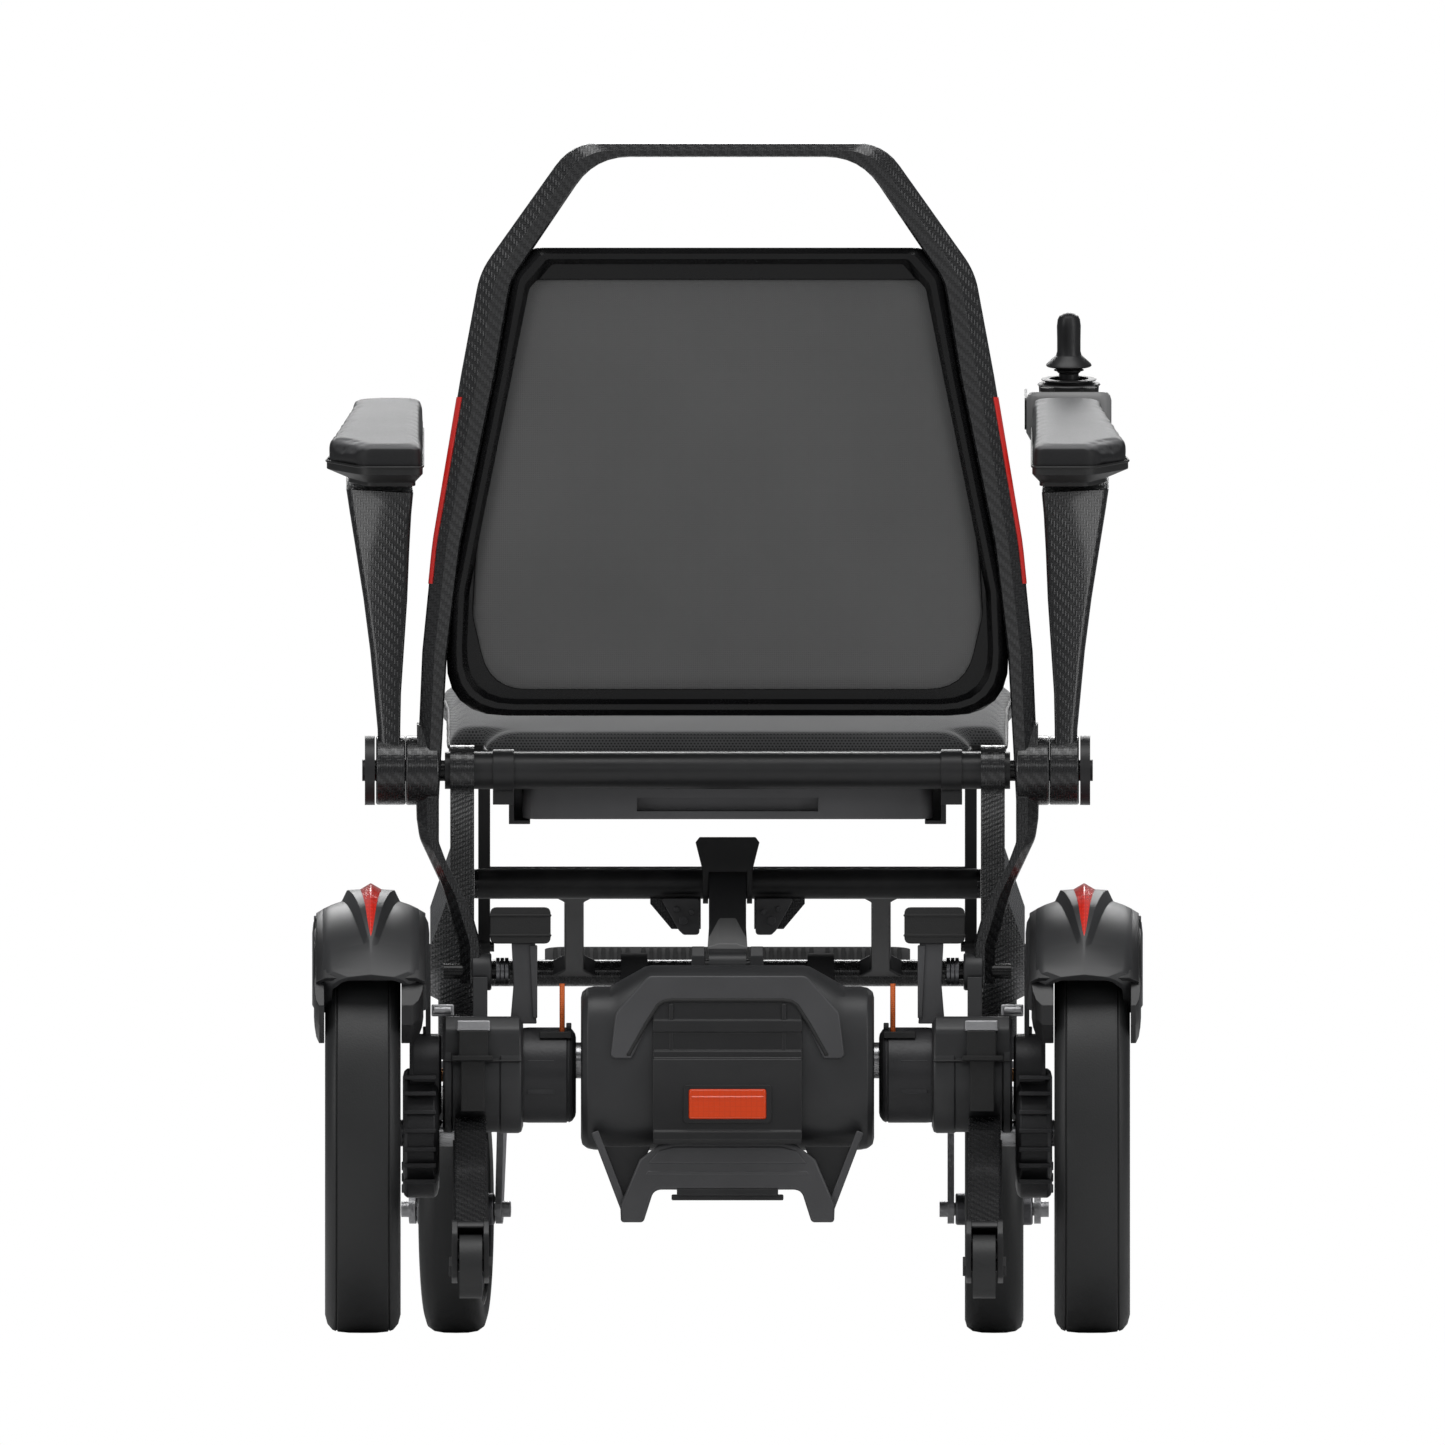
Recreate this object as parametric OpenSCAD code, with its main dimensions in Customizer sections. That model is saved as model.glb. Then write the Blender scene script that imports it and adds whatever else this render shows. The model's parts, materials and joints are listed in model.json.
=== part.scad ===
// Folding electric wheelchair: carbon-look frame, two geared hub drives, swivelling casters.
// Origin: on the floor, in the middle plane, straight under the drive axle.
// +X is the user's right, +Y the way the chair drives, +Z up.

/* [Overall] */
// Height of the hub axis, on which the frame folds
hub_z = 422; // [410:1:430]
// Distance of the hub axis in front of the drive axle
hub_y = 40; // [35:1:45]
// Diameter of the cross tube on the hub axis
cross_tube_d = 28; // [24:1:30]

/* [Drive wheels] */
// Diameter of the drive wheels
wheel_d = 300; // [290:1:304]
// Width of the drive tyres
wheel_w = 55; // [46:1:56]
// Distance of each drive wheel from the middle plane
wheel_x = 272; // [272:1:276]

/* [Casters] */
// Diameter of the caster wheels
caster_d = 186; // [170:1:186]
// Width of the caster tyres
caster_w = 44; // [36:1:46]
// Distance of each caster from the middle plane
caster_x = 200; // [200:1:201]
// Distance of the caster swivel axis in front of the drive axle
caster_y = 430; // [425:1:440]
// Trail of the casters
caster_trail = 45; // [35:1:50]
// Angle at which the left caster stands at rest, in degrees
caster_yaw = 4.5; // [0:0.5:5]

/* [Seat and back] */
// Slope of the seat, in degrees
seat_tilt = 6.4; // [5:0.1:8]
// Length of the seat cushion
seat_len = 420; // [380:5:430]
// Width of the seat cushion
seat_w = 428; // [400:2:428]
// Thickness of the seat cushion
seat_pad_t = 29; // [24:1:32]
// Recline of the back, in degrees
recline = 12; // [10:1:14]
// Thickness of the back cushion
back_pad_t = 20; // [16:1:22]

/* [Battery] */
// Width of the battery pack
battery_w = 308; // [280:2:310]
// Length of the battery pack
battery_len = 300; // [240:5:300]
// Thickness of the battery pack
battery_t = 23; // [18:1:24]

/* [Hidden] */
// Module of the gear teeth
gear_module = 1.5;
// Teeth of the motor pinion
pinion_teeth = 14;
// Teeth of the axle gear
wheel_gear_teeth = 44;
$fn = 64;

// Running clearance of a pin in its bore, on the radius
run_gap = 0.05;
// Gap left at a welded joint, so that each member stays a solid of its own
weld_gap = 0.05;

// Axles
axle_z = wheel_d / 2;
axle_r = 10;
motor_z = axle_z + gear_module * (pinion_teeth + wheel_gear_teeth) / 2;
motor_r = 39.5;
motor_x0 = 114;
motor_x1 = 204;
clamp_r = 46;
clamp_x0 = 154;
clamp_x1 = 216;
gearbox_x1 = 241.5;
gear_x0 = 222;
gear_w = 13;

// Hub axis parts
hub_pin_r = 8;
tube_end_x = 212;
arm_x0 = 236;
arm_x1 = 264;
arm_hub_r = 26;

// Front frame, a ladder in one sloping plane from the hub axis to the caster heads
head_z = 246;
head_r = 17;
leg_x0 = 190;
leg_x1 = 208;
leg_flare_x = 223;
head_low = 205;
head_h = 58;
post_x = 116;
post_r = 6.5;
leg_slope = atan2(hub_z - head_z, caster_y - hub_y);
crossbar_z = 337;
crossbar_y = hub_y + (hub_z - crossbar_z) / tan(leg_slope);
crossbar_r = 11;
footbar_z = 270;
footbar_y = hub_y + (hub_z - footbar_z) / tan(leg_slope);
footbar_r = 10;
accessory_r = 3.3;
accessory_y = [110, 160];

// Lower pivot of the back frame on the rear chassis
pivot_y = 5;
pivot_z = 271;
pivot_r = 6;
eye_r = 12;
lower_lean = atan2(hub_y - pivot_y, hub_z - pivot_z);

// Central unit
unit_z = 204.5;
unit_r = 71.5;
unit_end_r = 62;
unit_x = 110;
unit_wall = 4;
arm_pivot_y = 42;
arm_pivot_z = 276;

// Seat prop
prop_y = 332;
prop_z = 290;
prop_pin_r = 4;
prop_x0 = 178;
prop_x1 = 187;

// Caster fork
caster_z = caster_d / 2;
fork_gap = caster_w / 2 + 8;
fork_t = 5;
stem_r = 6;
caster_bolt_r = 5;

// Anti-tip rollers
roller_y = -236;
roller_z = 50;
roller_r = 24;

// Armrest
arm_tilt = 7;
arm_top_y = 105;
arm_top_z = 660;

// Joystick
box_len = 84;
box_h = 39;
joy_x = 256;
joy_y = 284;
joy_r_pin = 2;
socket_r = 8;

// ---------- helpers ----------

// Cylinder along X from x0 to x1, on the line y, z
module x_rod(x0, x1, r, y, z) {
    translate([x0, y, z])
        rotate([0, 90, 0])
            cylinder(h = x1 - x0, r = r);
}

// Round bar of radius r between two points
module bar(p, q, r) {
    d = q - p;
    translate(p)
        rotate([0, acos(d[2] / norm(d)), atan2(d[1], d[0])])
            cylinder(h = norm(d), r = r);
}

// Block given by its lowest and highest corners
module block(low, high) {
    translate(low)
        cube(high - low);
}

// Side profile, drawn in Y and Z, given a width along X
module side_plate(x0, x1) {
    translate([x0, 0, 0])
        rotate([90, 0, 90])
            linear_extrude(x1 - x0)
                children();
}

// The right-hand part as it is, or its mirror image on the left
module on_side(side) {
    mirror([side < 0 ? 1 : 0, 0, 0])
        children();
}

// The same part on both sides
module both_sides() {
    on_side(1)
        children();
    on_side(-1)
        children();
}

// The same outline on both sides
module both_sides_flat() {
    children();
    mirror([1, 0])
        children();
}

// Frame of the seat: origin on the hub axis, Y along the seat, Z square to it
module in_seat() {
    translate([0, hub_y, hub_z])
        rotate([seat_tilt, 0, 0])
            children();
}

// Frame of the back: origin on the hub axis, Z up along the back, Y square to it and forward
module in_back() {
    translate([0, hub_y, hub_z])
        rotate([recline, 0, 0])
            children();
}

// Frame of the armrest: origin at the top of its support, Y along the pad
module in_arm() {
    translate([0, arm_top_y, arm_top_z])
        rotate([arm_tilt, 0, 0])
            children();
}

// Turn by an angle about a line along X
module turn_x(y, z, angle) {
    translate([0, y, z])
        rotate([angle, 0, 0])
            children();
}

// Points of a circular arc
function arc(cx, cy, r, a0, a1, n) =
    [for (i = [0:n]) [cx + r * cos(a0 + (a1 - a0) * i / n), cy + r * sin(a0 + (a1 - a0) * i / n)]];

// Rounded rectangle
module rounded(w, l, r) {
    square([w - 2 * r, l], center = true);
    square([w, l - 2 * r], center = true);
    for (x = [-1, 1], y = [-1, 1])
        translate([x * (w / 2 - r), y * (l / 2 - r)])
            circle(r);
}

// ---------- gears ----------

// Half tooth angle of an involute gear at radius r, thinned by the backlash share
function inv(a) = tan(a) * 180 / PI - a;
function half_tooth(teeth, r, base_r) =
    90 / teeth * 0.94 + inv(20) - inv(acos(min(1, base_r / r)));

module gear_profile(teeth, phase) {
    pitch_r = gear_module * teeth / 2;
    base_r = pitch_r * cos(20);
    tip_r = pitch_r + gear_module * 0.92;
    root_r = pitch_r - gear_module * 1.25;
    flank = [for (i = [0:4]) max(base_r, root_r) + (tip_r - max(base_r, root_r)) * i / 4];
    points = [for (k = [0:teeth - 1]) let (c = phase + 360 * k / teeth) each concat(
        [let (w = half_tooth(teeth, flank[0], base_r)) [root_r * cos(c - w), root_r * sin(c - w)]],
        [for (i = [0:4]) let (w = half_tooth(teeth, flank[i], base_r))
            [flank[i] * cos(c - w), flank[i] * sin(c - w)]],
        [for (i = [4:-1:0]) let (w = half_tooth(teeth, flank[i], base_r))
            [flank[i] * cos(c + w), flank[i] * sin(c + w)]],
        [let (w = half_tooth(teeth, flank[0], base_r)) [root_r * cos(c + w), root_r * sin(c + w)]])];
    polygon(points);
}

// ---------- front frame ----------

// Flat side of one leg, from the cross tube to the caster head
module leg_outline() {
    turn = -leg_slope;
    translate([hub_y, hub_z])
        circle(19);
    translate([hub_y, hub_z])
        rotate(turn)
            polygon([[0, 17], [430, 12], [430, -13], [120, -15], [0, -17]]);
}

// Plan of a leg: it widens outwards towards the caster head
module leg_plan() {
    polygon([[leg_x0, 0], [leg_x1, 0], [leg_x1, 205], [leg_flare_x, 300], [leg_flare_x, 382],
        [leg_x1, 400], [leg_x1, 480], [leg_x0, 480]]);
}

module leg(side) {
    on_side(side)
        difference() {
            union() {
                intersection() {
                    side_plate(leg_x0, leg_flare_x)
                        leg_outline();
                    translate([0, 0, 200])
                        linear_extrude(260)
                            leg_plan();
                }
                translate([caster_x, caster_y, head_low])
                    cylinder(h = head_h, r = head_r);
                // Boss and pin on which the seat prop turns
                x_rod(prop_x0 - 3, leg_x0 + 1, prop_pin_r, prop_y, prop_z);
            }
            translate([caster_x, caster_y, head_low - 1])
                cylinder(h = head_h - 4, r = stem_r + run_gap);
            x_rod(leg_x0 - 1, leg_x1 + 1, cross_tube_d / 2, hub_y, hub_z);
            // Holes for accessories
            for (y = accessory_y)
                x_rod(leg_x0 - 1, leg_x1 + 1, accessory_r, y, hub_z - (y - hub_y) * tan(leg_slope));
        }
}

module front_frame() {
    along = [0, cos(leg_slope), -sin(leg_slope)];
    color([0.09, 0.09, 0.1]) {
        leg(1);
        leg(-1);
        x_rod(-leg_x0 + weld_gap, leg_x0 - weld_gap, crossbar_r, crossbar_y, crossbar_z);
        x_rod(-leg_x0 + weld_gap, leg_x0 - weld_gap, footbar_r, footbar_y, footbar_z);
        both_sides() {
            bar([post_x, crossbar_y, crossbar_z] + (crossbar_r + weld_gap) * along,
                [post_x, footbar_y, footbar_z] - (footbar_r + weld_gap) * along, post_r);
            // Hook plate beside the latch
            translate([0, crossbar_y + 4, 0])
                rotate([90, 0, 0])
                    linear_extrude(8)
                        polygon([[20, crossbar_z - crossbar_r - weld_gap], [20, 303], [42, 303],
                            [58, 322], [58, crossbar_z - crossbar_r - weld_gap]]);
        }
    }
}

module cross_tube() {
    color([0.12, 0.12, 0.13])
    difference() {
        x_rod(-tube_end_x, tube_end_x, cross_tube_d / 2, hub_y, hub_z);
        both_sides()
            x_rod(170, tube_end_x + 1, hub_pin_r, hub_y, hub_z);
    }
}

module hub_axles() {
    color("silver")
    both_sides()
        x_rod(170, 270, hub_pin_r, hub_y, hub_z);
}

module hub_caps() {
    color([0.08, 0.08, 0.08])
    both_sides()
        difference() {
            union() {
                x_rod(arm_x1 + 0.5, 272, arm_hub_r, hub_y, hub_z);
                x_rod(271, 274, 8, hub_y, hub_z);
            }
            x_rod(arm_x1, 270, hub_pin_r, hub_y, hub_z);
        }
}

// ---------- footplate ----------

foot_tilt = 7;
foot_len = 150;
foot_w = 274;
foot_t = 9;

module in_footplate() {
    turn_x(footbar_y, footbar_z, foot_tilt)
        children();
}

module footplate() {
    color([0.2, 0.2, 0.21])
    in_footplate() {
        translate([0, 14 + foot_len / 2, -foot_t])
            linear_extrude(foot_t)
                rounded(foot_w, foot_len - 4, 16);
        both_sides()
            difference() {
                union() {
                    x_rod(60, 80, 15, 0, 0);
                    block([60, 0, -foot_t], [80, 30, 0]);
                }
                x_rod(59, 81, footbar_r + run_gap, 0, 0);
            }
    }
}

module footplate_grips() {
    color([0.05, 0.05, 0.05])
    in_footplate()
        for (x = [-102, -36, 36, 102], i = [0:9])
            translate([x - 27 + i * 6 - 1.5, 40, 0])
                cube([3, foot_len - 50, 2]);
}

// ---------- seat ----------

seat_pan_low = -cross_tube_d / 2;
seat_pan_t = 4;
rail_x0 = 160;
rail_x1 = 176;
seat_rear = 22;
notch_y = 64;

module seat_pan() {
    color([0.1, 0.1, 0.1])
    in_seat()
        difference() {
            union() {
                translate([0, 0, seat_pan_low])
                    linear_extrude(seat_pan_t)
                        polygon([[-186, seat_rear], [186, seat_rear], [186, notch_y], [205, notch_y],
                            [205, seat_len + 10], [-205, seat_len + 10], [-205, notch_y], [-186, notch_y]]);
                both_sides() {
                    block([rail_x0, 0, -26], [rail_x1, seat_len - 20, seat_pan_low + 1]);
                    x_rod(rail_x0, rail_x1, cross_tube_d / 2 + 1.8, 0, 0);
                    // Lip that carries the battery
                    block([148, 30, -44], [rail_x0 + 4, 330, -41]);
                    block([rail_x0, 30, -44], [rail_x0 + 4, 330, -20]);
                }
            }
            both_sides()
                x_rod(rail_x0 - 1, rail_x1 + 1, cross_tube_d / 2 + run_gap, 0, 0);
        }
}

module seat_cushion() {
    color([0.25, 0.25, 0.26])
    in_seat()
        translate([0, 0, seat_pan_low + seat_pan_t + 0.3])
            linear_extrude(seat_pad_t)
                difference() {
                    translate([0, seat_rear + seat_len / 2])
                        rounded(seat_w, seat_len, 30);
                    // Rear corners cut clear of the legs
                    both_sides_flat()
                        polygon([[186, seat_rear - 1], [186, notch_y - 14], [196, notch_y],
                            [seat_w / 2 + 1, notch_y], [seat_w / 2 + 1, seat_rear - 1]]);
                }
}

module battery_pack() {
    color([0.35, 0.35, 0.36])
    in_seat()
        difference() {
            translate([0, 28 + battery_len / 2, -17 - battery_t])
                linear_extrude(battery_t)
                    rounded(battery_w, battery_len, 12);
            // Finger pull in the rear edge
            block([-68, 20, -34], [68, 38, -24]);
        }
}

module seat_prop() {
    tip_y = prop_y - 14;
    tip_z = hub_z + (tip_y - hub_y) * tan(seat_tilt) + seat_pan_low / cos(seat_tilt) - 7.8;
    color([0.15, 0.15, 0.16]) {
        both_sides()
            difference() {
                union() {
                    x_rod(prop_x0, prop_x1, 9, prop_y, prop_z);
                    x_rod(prop_x0, prop_x1, 7, tip_y, tip_z);
                    side_plate(prop_x0, prop_x1)
                        polygon([[prop_y - 7, prop_z], [prop_y + 7, prop_z],
                            [tip_y + 7, tip_z], [tip_y - 7, tip_z]]);
                }
                x_rod(prop_x0 - 1, prop_x1 + 1, prop_pin_r + run_gap, prop_y, prop_z);
            }
        x_rod(-prop_x0, prop_x0, 4, prop_y - 5, prop_z + 56);
    }
}

// ---------- back ----------

// Height along the back of a level z on the chair
function up(z) = (z - hub_z) / cos(recline);

// Corners of the tube loop on the right, outside and inside
loop_out = [[233.6, 400], [231.4, 451], [229, 511], [221, 592], [200, 718], [188.6, 782],
    [175, 810], [129.4, 875], [101.6, 892]];
loop_in = [[87, 881.5], [106, 872], [146.6, 812], [163, 780], [174, 718], [200, 592],
    [210.4, 504], [214, 456], [216.4, 400]];
back_t = 24;

module loop_outline() {
    right = concat([for (p = loop_out) [p[0], up(p[1])]]);
    left = [for (i = [len(loop_out) - 1:-1:0]) [-loop_out[i][0], up(loop_out[i][1])]];
    right_in = [for (i = [0:len(loop_in) - 1]) [loop_in[i][0], up(loop_in[i][1])]];
    left_in = [for (i = [len(loop_in) - 1:-1:0]) [-loop_in[i][0], up(loop_in[i][1])]];
    polygon(concat(right, left, left_in, right_in));
}

// Lower tube of the back frame, from the hub to the lower pivot, in its own sloping plane
module lower_outline() {
    rise = 1 / cos(lower_lean);
    function low(z) = (z - pivot_z) * rise;
    polygon([[232.8, low(416)], [232.8, low(396)], [231, low(372)], [215, low(337)],
        [203, low(300)], [201, low(284)], [201, low(271)], [185, low(271)], [185, low(290)],
        [192.4, low(318)], [210.4, low(352)], [216.4, low(368)], [217, low(416)]]);
}

module back_frame() {
    color([0.08, 0.08, 0.09])
    difference() {
        union() {
            in_back()
                translate([0, back_t / 2, 0])
                    rotate([90, 0, 0])
                        linear_extrude(back_t)
                            loop_outline();
            both_sides() {
                translate([0, pivot_y, pivot_z])
                    rotate([-lower_lean, 0, 0])
                        translate([0, 11, 0])
                            rotate([90, 0, 0])
                                linear_extrude(22)
                                    lower_outline();
                x_rod(tube_end_x + 1, 235, 20, hub_y, hub_z);
                x_rod(183, 203, eye_r, pivot_y, pivot_z);
            }
        }
        both_sides() {
            x_rod(tube_end_x, 236, hub_pin_r + run_gap, hub_y, hub_z);
            x_rod(182, 204, pivot_r + run_gap, pivot_y, pivot_z);
        }
        // Screw holes for the back shell
        back_screw_places()
            rotate([90, 0, 0])
                cylinder(h = 40, r = 2.5, center = true);
    }
}

// Where the screws hold the shell to the tubes
module back_screw_places() {
    in_back()
        for (s = [-1, 1], p = [[219.5, 511], [210, 592], [186, 718]])
            translate([s * p[0], back_t / 2, up(p[1])])
                children();
}

// Outline of the shell between the tubes, grown by g
module shell_outline(g) {
    bottom = up(463) - g;
    top = up(814) + g;
    polygon(concat(
        arc(-145, bottom + 62, 62, 270, 190, 8),
        [[-206 - g, up(560)], [-196 - g, up(600)], [-171 - g, up(718)]],
        arc(-136, top - 24, 24, 165, 90, 5),
        arc(136, top - 24, 24, 90, 15, 5),
        [[171 + g, up(718)], [196 + g, up(600)], [206 + g, up(560)]],
        arc(145, bottom + 62, 62, -10, -90, 8)));
}

module back_shell() {
    color([0.03, 0.03, 0.03])
    in_back()
        difference() {
            union() {
                // Rim between the tubes
                translate([0, 12, 0])
                    rotate([90, 0, 0])
                        linear_extrude(20)
                            shell_outline(-1.2);
                // Flange on the front of the tubes
                translate([0, back_t / 2 + 3, 0])
                    rotate([90, 0, 0])
                        linear_extrude(3)
                            polygon([[-226, up(500)], [-216, up(592)], [-195, up(718)],
                                [-180, up(780)], [180, up(780)], [195, up(718)],
                                [216, up(592)], [226, up(500)], [150, up(470)], [-150, up(470)]]);
            }
            // Room for the tubes
            translate([0, back_t / 2, 0])
                rotate([90, 0, 0])
                    linear_extrude(back_t + 1)
                        loop_outline();
            // Recess for the rear panel
            translate([0, -3.4, 0])
                rotate([90, 0, 0])
                    linear_extrude(10)
                        panel_outline();
            for (s = [-1, 1], p = [[219.5, 511], [210, 592], [186, 718]])
                translate([s * p[0], back_t / 2, up(p[1])])
                    rotate([90, 0, 0])
                        cylinder(h = 20, r = 2.5, center = true);
        }
}

// Outline of the grey rear panel
module panel_outline() {
    bottom = up(483);
    top = up(790);
    polygon(concat(
        arc(-140, bottom + 45, 45, 270, 190, 7),
        [[-188, up(560)]],
        arc(-138, top - 20, 20, 165, 90, 5),
        arc(138, top - 20, 20, 90, 15, 5),
        [[188, up(560)]],
        arc(140, bottom + 45, 45, -10, -90, 7)));
}

module back_panel() {
    color([0.28, 0.28, 0.28])
    in_back()
        translate([0, -3.4, 0])
            rotate([90, 0, 0])
                linear_extrude(5)
                    panel_outline();
}

module back_cushion() {
    color([0.2, 0.2, 0.21])
    in_back()
        translate([0, back_t / 2 + 3.3 + back_pad_t, 0])
            rotate([90, 0, 0])
                linear_extrude(back_pad_t)
                    polygon([[-176, up(500)], [-186, up(540)], [-178, up(620)], [-150, up(780)],
                        [-130, up(796)], [130, up(796)], [150, up(780)], [178, up(620)],
                        [186, up(540)], [176, up(500)], [150, up(488)], [-150, up(488)]]);
}

module back_screws() {
    color("silver")
    back_screw_places() {
        translate([0, -14, 0])
            rotate([-90, 0, 0])
                cylinder(h = 17, r = 2.5);
        translate([0, 3, 0])
            rotate([-90, 0, 0])
                cylinder(h = 3, r = 4.5);
    }
}

// ---------- rear chassis ----------

module pivot_pins() {
    color("silver")
    both_sides()
        x_rod(163.5, 213, pivot_r, pivot_y, pivot_z);
}

module pivot_springs() {
    color([0.12, 0.12, 0.12])
    both_sides()
        for (i = [0:2])
            difference() {
                x_rod(164.2 + i * 3.3, 167 + i * 3.3, 10.5, pivot_y, pivot_z);
                x_rod(160, 176, pivot_r, pivot_y, pivot_z);
            }
}

// Side profile of the lug that carries the lower pivot
module lug_outline() {
    translate([pivot_y, pivot_z])
        circle(eye_r - 1);
    polygon([[pivot_y - 11, pivot_z], [pivot_y + 11, pivot_z], [24, motor_z + 38], [-20, motor_z + 38]]);
}

module clamp_blocks() {
    color([0.2, 0.2, 0.21])
    both_sides()
        difference() {
            union() {
                x_rod(clamp_x0, clamp_x1, clamp_r, 0, motor_z);
                x_rod(196, clamp_x1, 34, 0, axle_z);
                side_plate(174, 182)
                    lug_outline();
                side_plate(204, 212)
                    lug_outline();
                // Bracket of the fender stay
                block([204, -12, 236], [221.8, 12, 247]);
                // Clamp ears with their split
                block([168, -54, motor_z - 8], [202, -40, motor_z + 20]);
            }
            x_rod(clamp_x0 - 1, motor_x1, motor_r, 0, motor_z);
            x_rod(motor_x1 - 1, clamp_x1 + 1, 5 + run_gap, 0, motor_z);
            x_rod(205, clamp_x1 + 1, axle_r + run_gap, 0, axle_z);
            x_rod(173, 213, pivot_r, pivot_y, pivot_z);
            block([clamp_x0 - 1, -60, motor_z + 10], [203, -38, motor_z + 12]);
        }
}

module motor_case(side) {
    color([0.16, 0.16, 0.17])
    on_side(side)
        difference() {
            union() {
                x_rod(motor_x0, motor_x1, motor_r, 0, motor_z);
                x_rod(104, motor_x0 + 1, 28, 0, motor_z);
            }
            x_rod(motor_x0 + 4, motor_x1 - 4, motor_r - 4, 0, motor_z);
            x_rod(motor_x1 - 6, motor_x1 + 1, 5 + run_gap, 0, motor_z);
            // Slot of the brake release lever
            block([121, -30, motor_z + 30], [150, -14, motor_z + 42]);
        }
}

module rotor(side) {
    color([0.6, 0.45, 0.3])
    on_side(side) {
        x_rod(126, 186, 27, 0, motor_z);
        x_rod(120, gear_x0 + gear_w, 5, 0, motor_z);
        translate([gear_x0, 0, motor_z])
            rotate([0, 90, 0])
                linear_extrude(gear_w)
                    gear_profile(pinion_teeth, 180 + 180 / pinion_teeth);
    }
}

module axle_gear(side) {
    color("silver")
    on_side(side) {
        x_rod(205, 292, axle_r, 0, axle_z);
        translate([gear_x0, 0, axle_z])
            rotate([0, 90, 0])
                linear_extrude(gear_w)
                    gear_profile(wheel_gear_teeth, 0);
    }
}

module gearbox(side) {
    color([0.1, 0.1, 0.1])
    on_side(side)
        difference() {
            union() {
                x_rod(clamp_x1, gearbox_x1, 43, 0, axle_z);
                x_rod(clamp_x1, gearbox_x1, 20, 0, motor_z);
                for (i = [0:4])
                    x_rod(clamp_x1 + 2 + i * 5, clamp_x1 + 4.4 + i * 5, 48, 0, axle_z);
                // Pad for the fender stay
                block([clamp_x1, -12, motor_z + 4], [gearbox_x1, 12, motor_z + 20]);
            }
            x_rod(clamp_x1 - 1, 238, 37, 0, axle_z);
            x_rod(clamp_x1 - 1, 238, 14, 0, motor_z);
            x_rod(230, gearbox_x1 + 1, axle_r + run_gap, 0, axle_z);
        }
}

// Section of the fender, drawn as distance across the wheel and radius
module fender_section() {
    difference() {
        polygon([[-44, 126], [-44, 160], [-34, 171], [-12, 179],
            [12, 179], [34, 171], [44, 160], [44, 126]]);
        polygon([[-41, 100], [-41, 158], [-32, 167.5], [-11, 175.5],
            [11, 175.5], [32, 167.5], [41, 158], [41, 100]]);
    }
}

module fender(side) {
    color([0.3, 0.3, 0.31])
    on_side(side) {
        translate([266, 0, axle_z])
            rotate([0, -90, 0])
                rotate([0, 0, -56])
                    rotate_extrude(angle = 112)
                        mirror([1, 0, 0])
                            rotate(90)
                                fender_section();
        // Stay from the gearbox to the inner skirt
        block([222, -10, motor_z + 20], [225, 10, axle_z + 150]);
        block([217, -10, motor_z + 20], [236, 10, motor_z + 23]);
    }
}

module reflectors() {
    color("red")
    both_sides()
        translate([266, 0, axle_z])
            rotate([0, -90, 0])
                rotate([0, 0, -35])
                    rotate_extrude(angle = 40)
                        translate([179.05, -8])
                            square([8, 16]);
}

module unit_housing() {
    color([0.22, 0.22, 0.23])
    difference() {
        union() {
            x_rod(-unit_x, unit_x, unit_end_r, 0, unit_z);
            x_rod(-75, 75, unit_r, 0, unit_z);
            // Ears of the latch arm
            both_sides()
                side_plate(16, 22) {
                    translate([arm_pivot_y, arm_pivot_z])
                        circle(8);
                    polygon([[arm_pivot_y - 12, 255], [arm_pivot_y + 12, 235],
                        [arm_pivot_y + 8, arm_pivot_z], [arm_pivot_y - 8, arm_pivot_z]]);
                }
        }
        x_rod(-unit_x + unit_wall, unit_x - unit_wall, unit_end_r - unit_wall, 0, unit_z);
        x_rod(-71, 71, unit_r - unit_wall, 0, unit_z);
        x_rod(-unit_x - 1, unit_x + 1, 28, 0, motor_z);
        // Rear opening under the cover
        block([-55, -90, unit_z - 50], [55, -30, unit_z + 46]);
        x_rod(-23, 23, 4, arm_pivot_y, arm_pivot_z);
    }
}

module unit_cover() {
    color([0.08, 0.08, 0.08])
    difference() {
        union() {
            block([-55, -60, unit_z - 50], [55, -50, unit_z + 46]);
            // Pillars of the control board
            for (x = [-42, 42], z = [-34, 34])
                translate([x, -51, unit_z + z])
                    rotate([-90, 0, 0])
                        cylinder(h = 21, r = 4);
        }
        block([-30, -62, unit_z - 40], [30, -55, unit_z - 16]);
    }
}

module rear_light() {
    color([0.9, 0.25, 0.05])
    block([-30, -61, unit_z - 40], [30, -55, unit_z - 16]);
}

module control_board() {
    color("green") {
        block([-48, -30, unit_z - 40], [48, -28.4, unit_z + 40]);
        for (x = [-30, -10, 10, 30])
            translate([x, -28.4, unit_z + 20])
                rotate([-90, 0, 0])
                    cylinder(h = 22, r = 6);
        block([-40, -28.4, unit_z - 30], [40, -14, unit_z - 8]);
    }
}

module folding_stand() {
    color([0.35, 0.35, 0.36])
    difference() {
        union() {
            // Arch that the folded chair stands on
            translate([0, -36, 0])
                rotate([90, 0, 0])
                    linear_extrude(26)
                        polygon([[-61, 83], [-47, 107], [47, 107], [61, 83], [80, 83], [80.5, 96],
                            [52, 139], [40, 144], [-40, 144], [-52, 139], [-80.5, 96], [-80, 83]]);
            block([-40, -52, 100], [40, -36, 108]);
            // Stays to the ends of the central unit
            both_sides()
                translate([0, -38, 0])
                    rotate([90, 0, 0])
                        linear_extrude(4)
                            polygon([[102, 156], [97, 156], [76, 98], [80, 92]]);
        }
        x_rod(-75, 75, unit_r, 0, unit_z);
        x_rod(-unit_x, unit_x, unit_end_r, 0, unit_z);
    }
}

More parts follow.
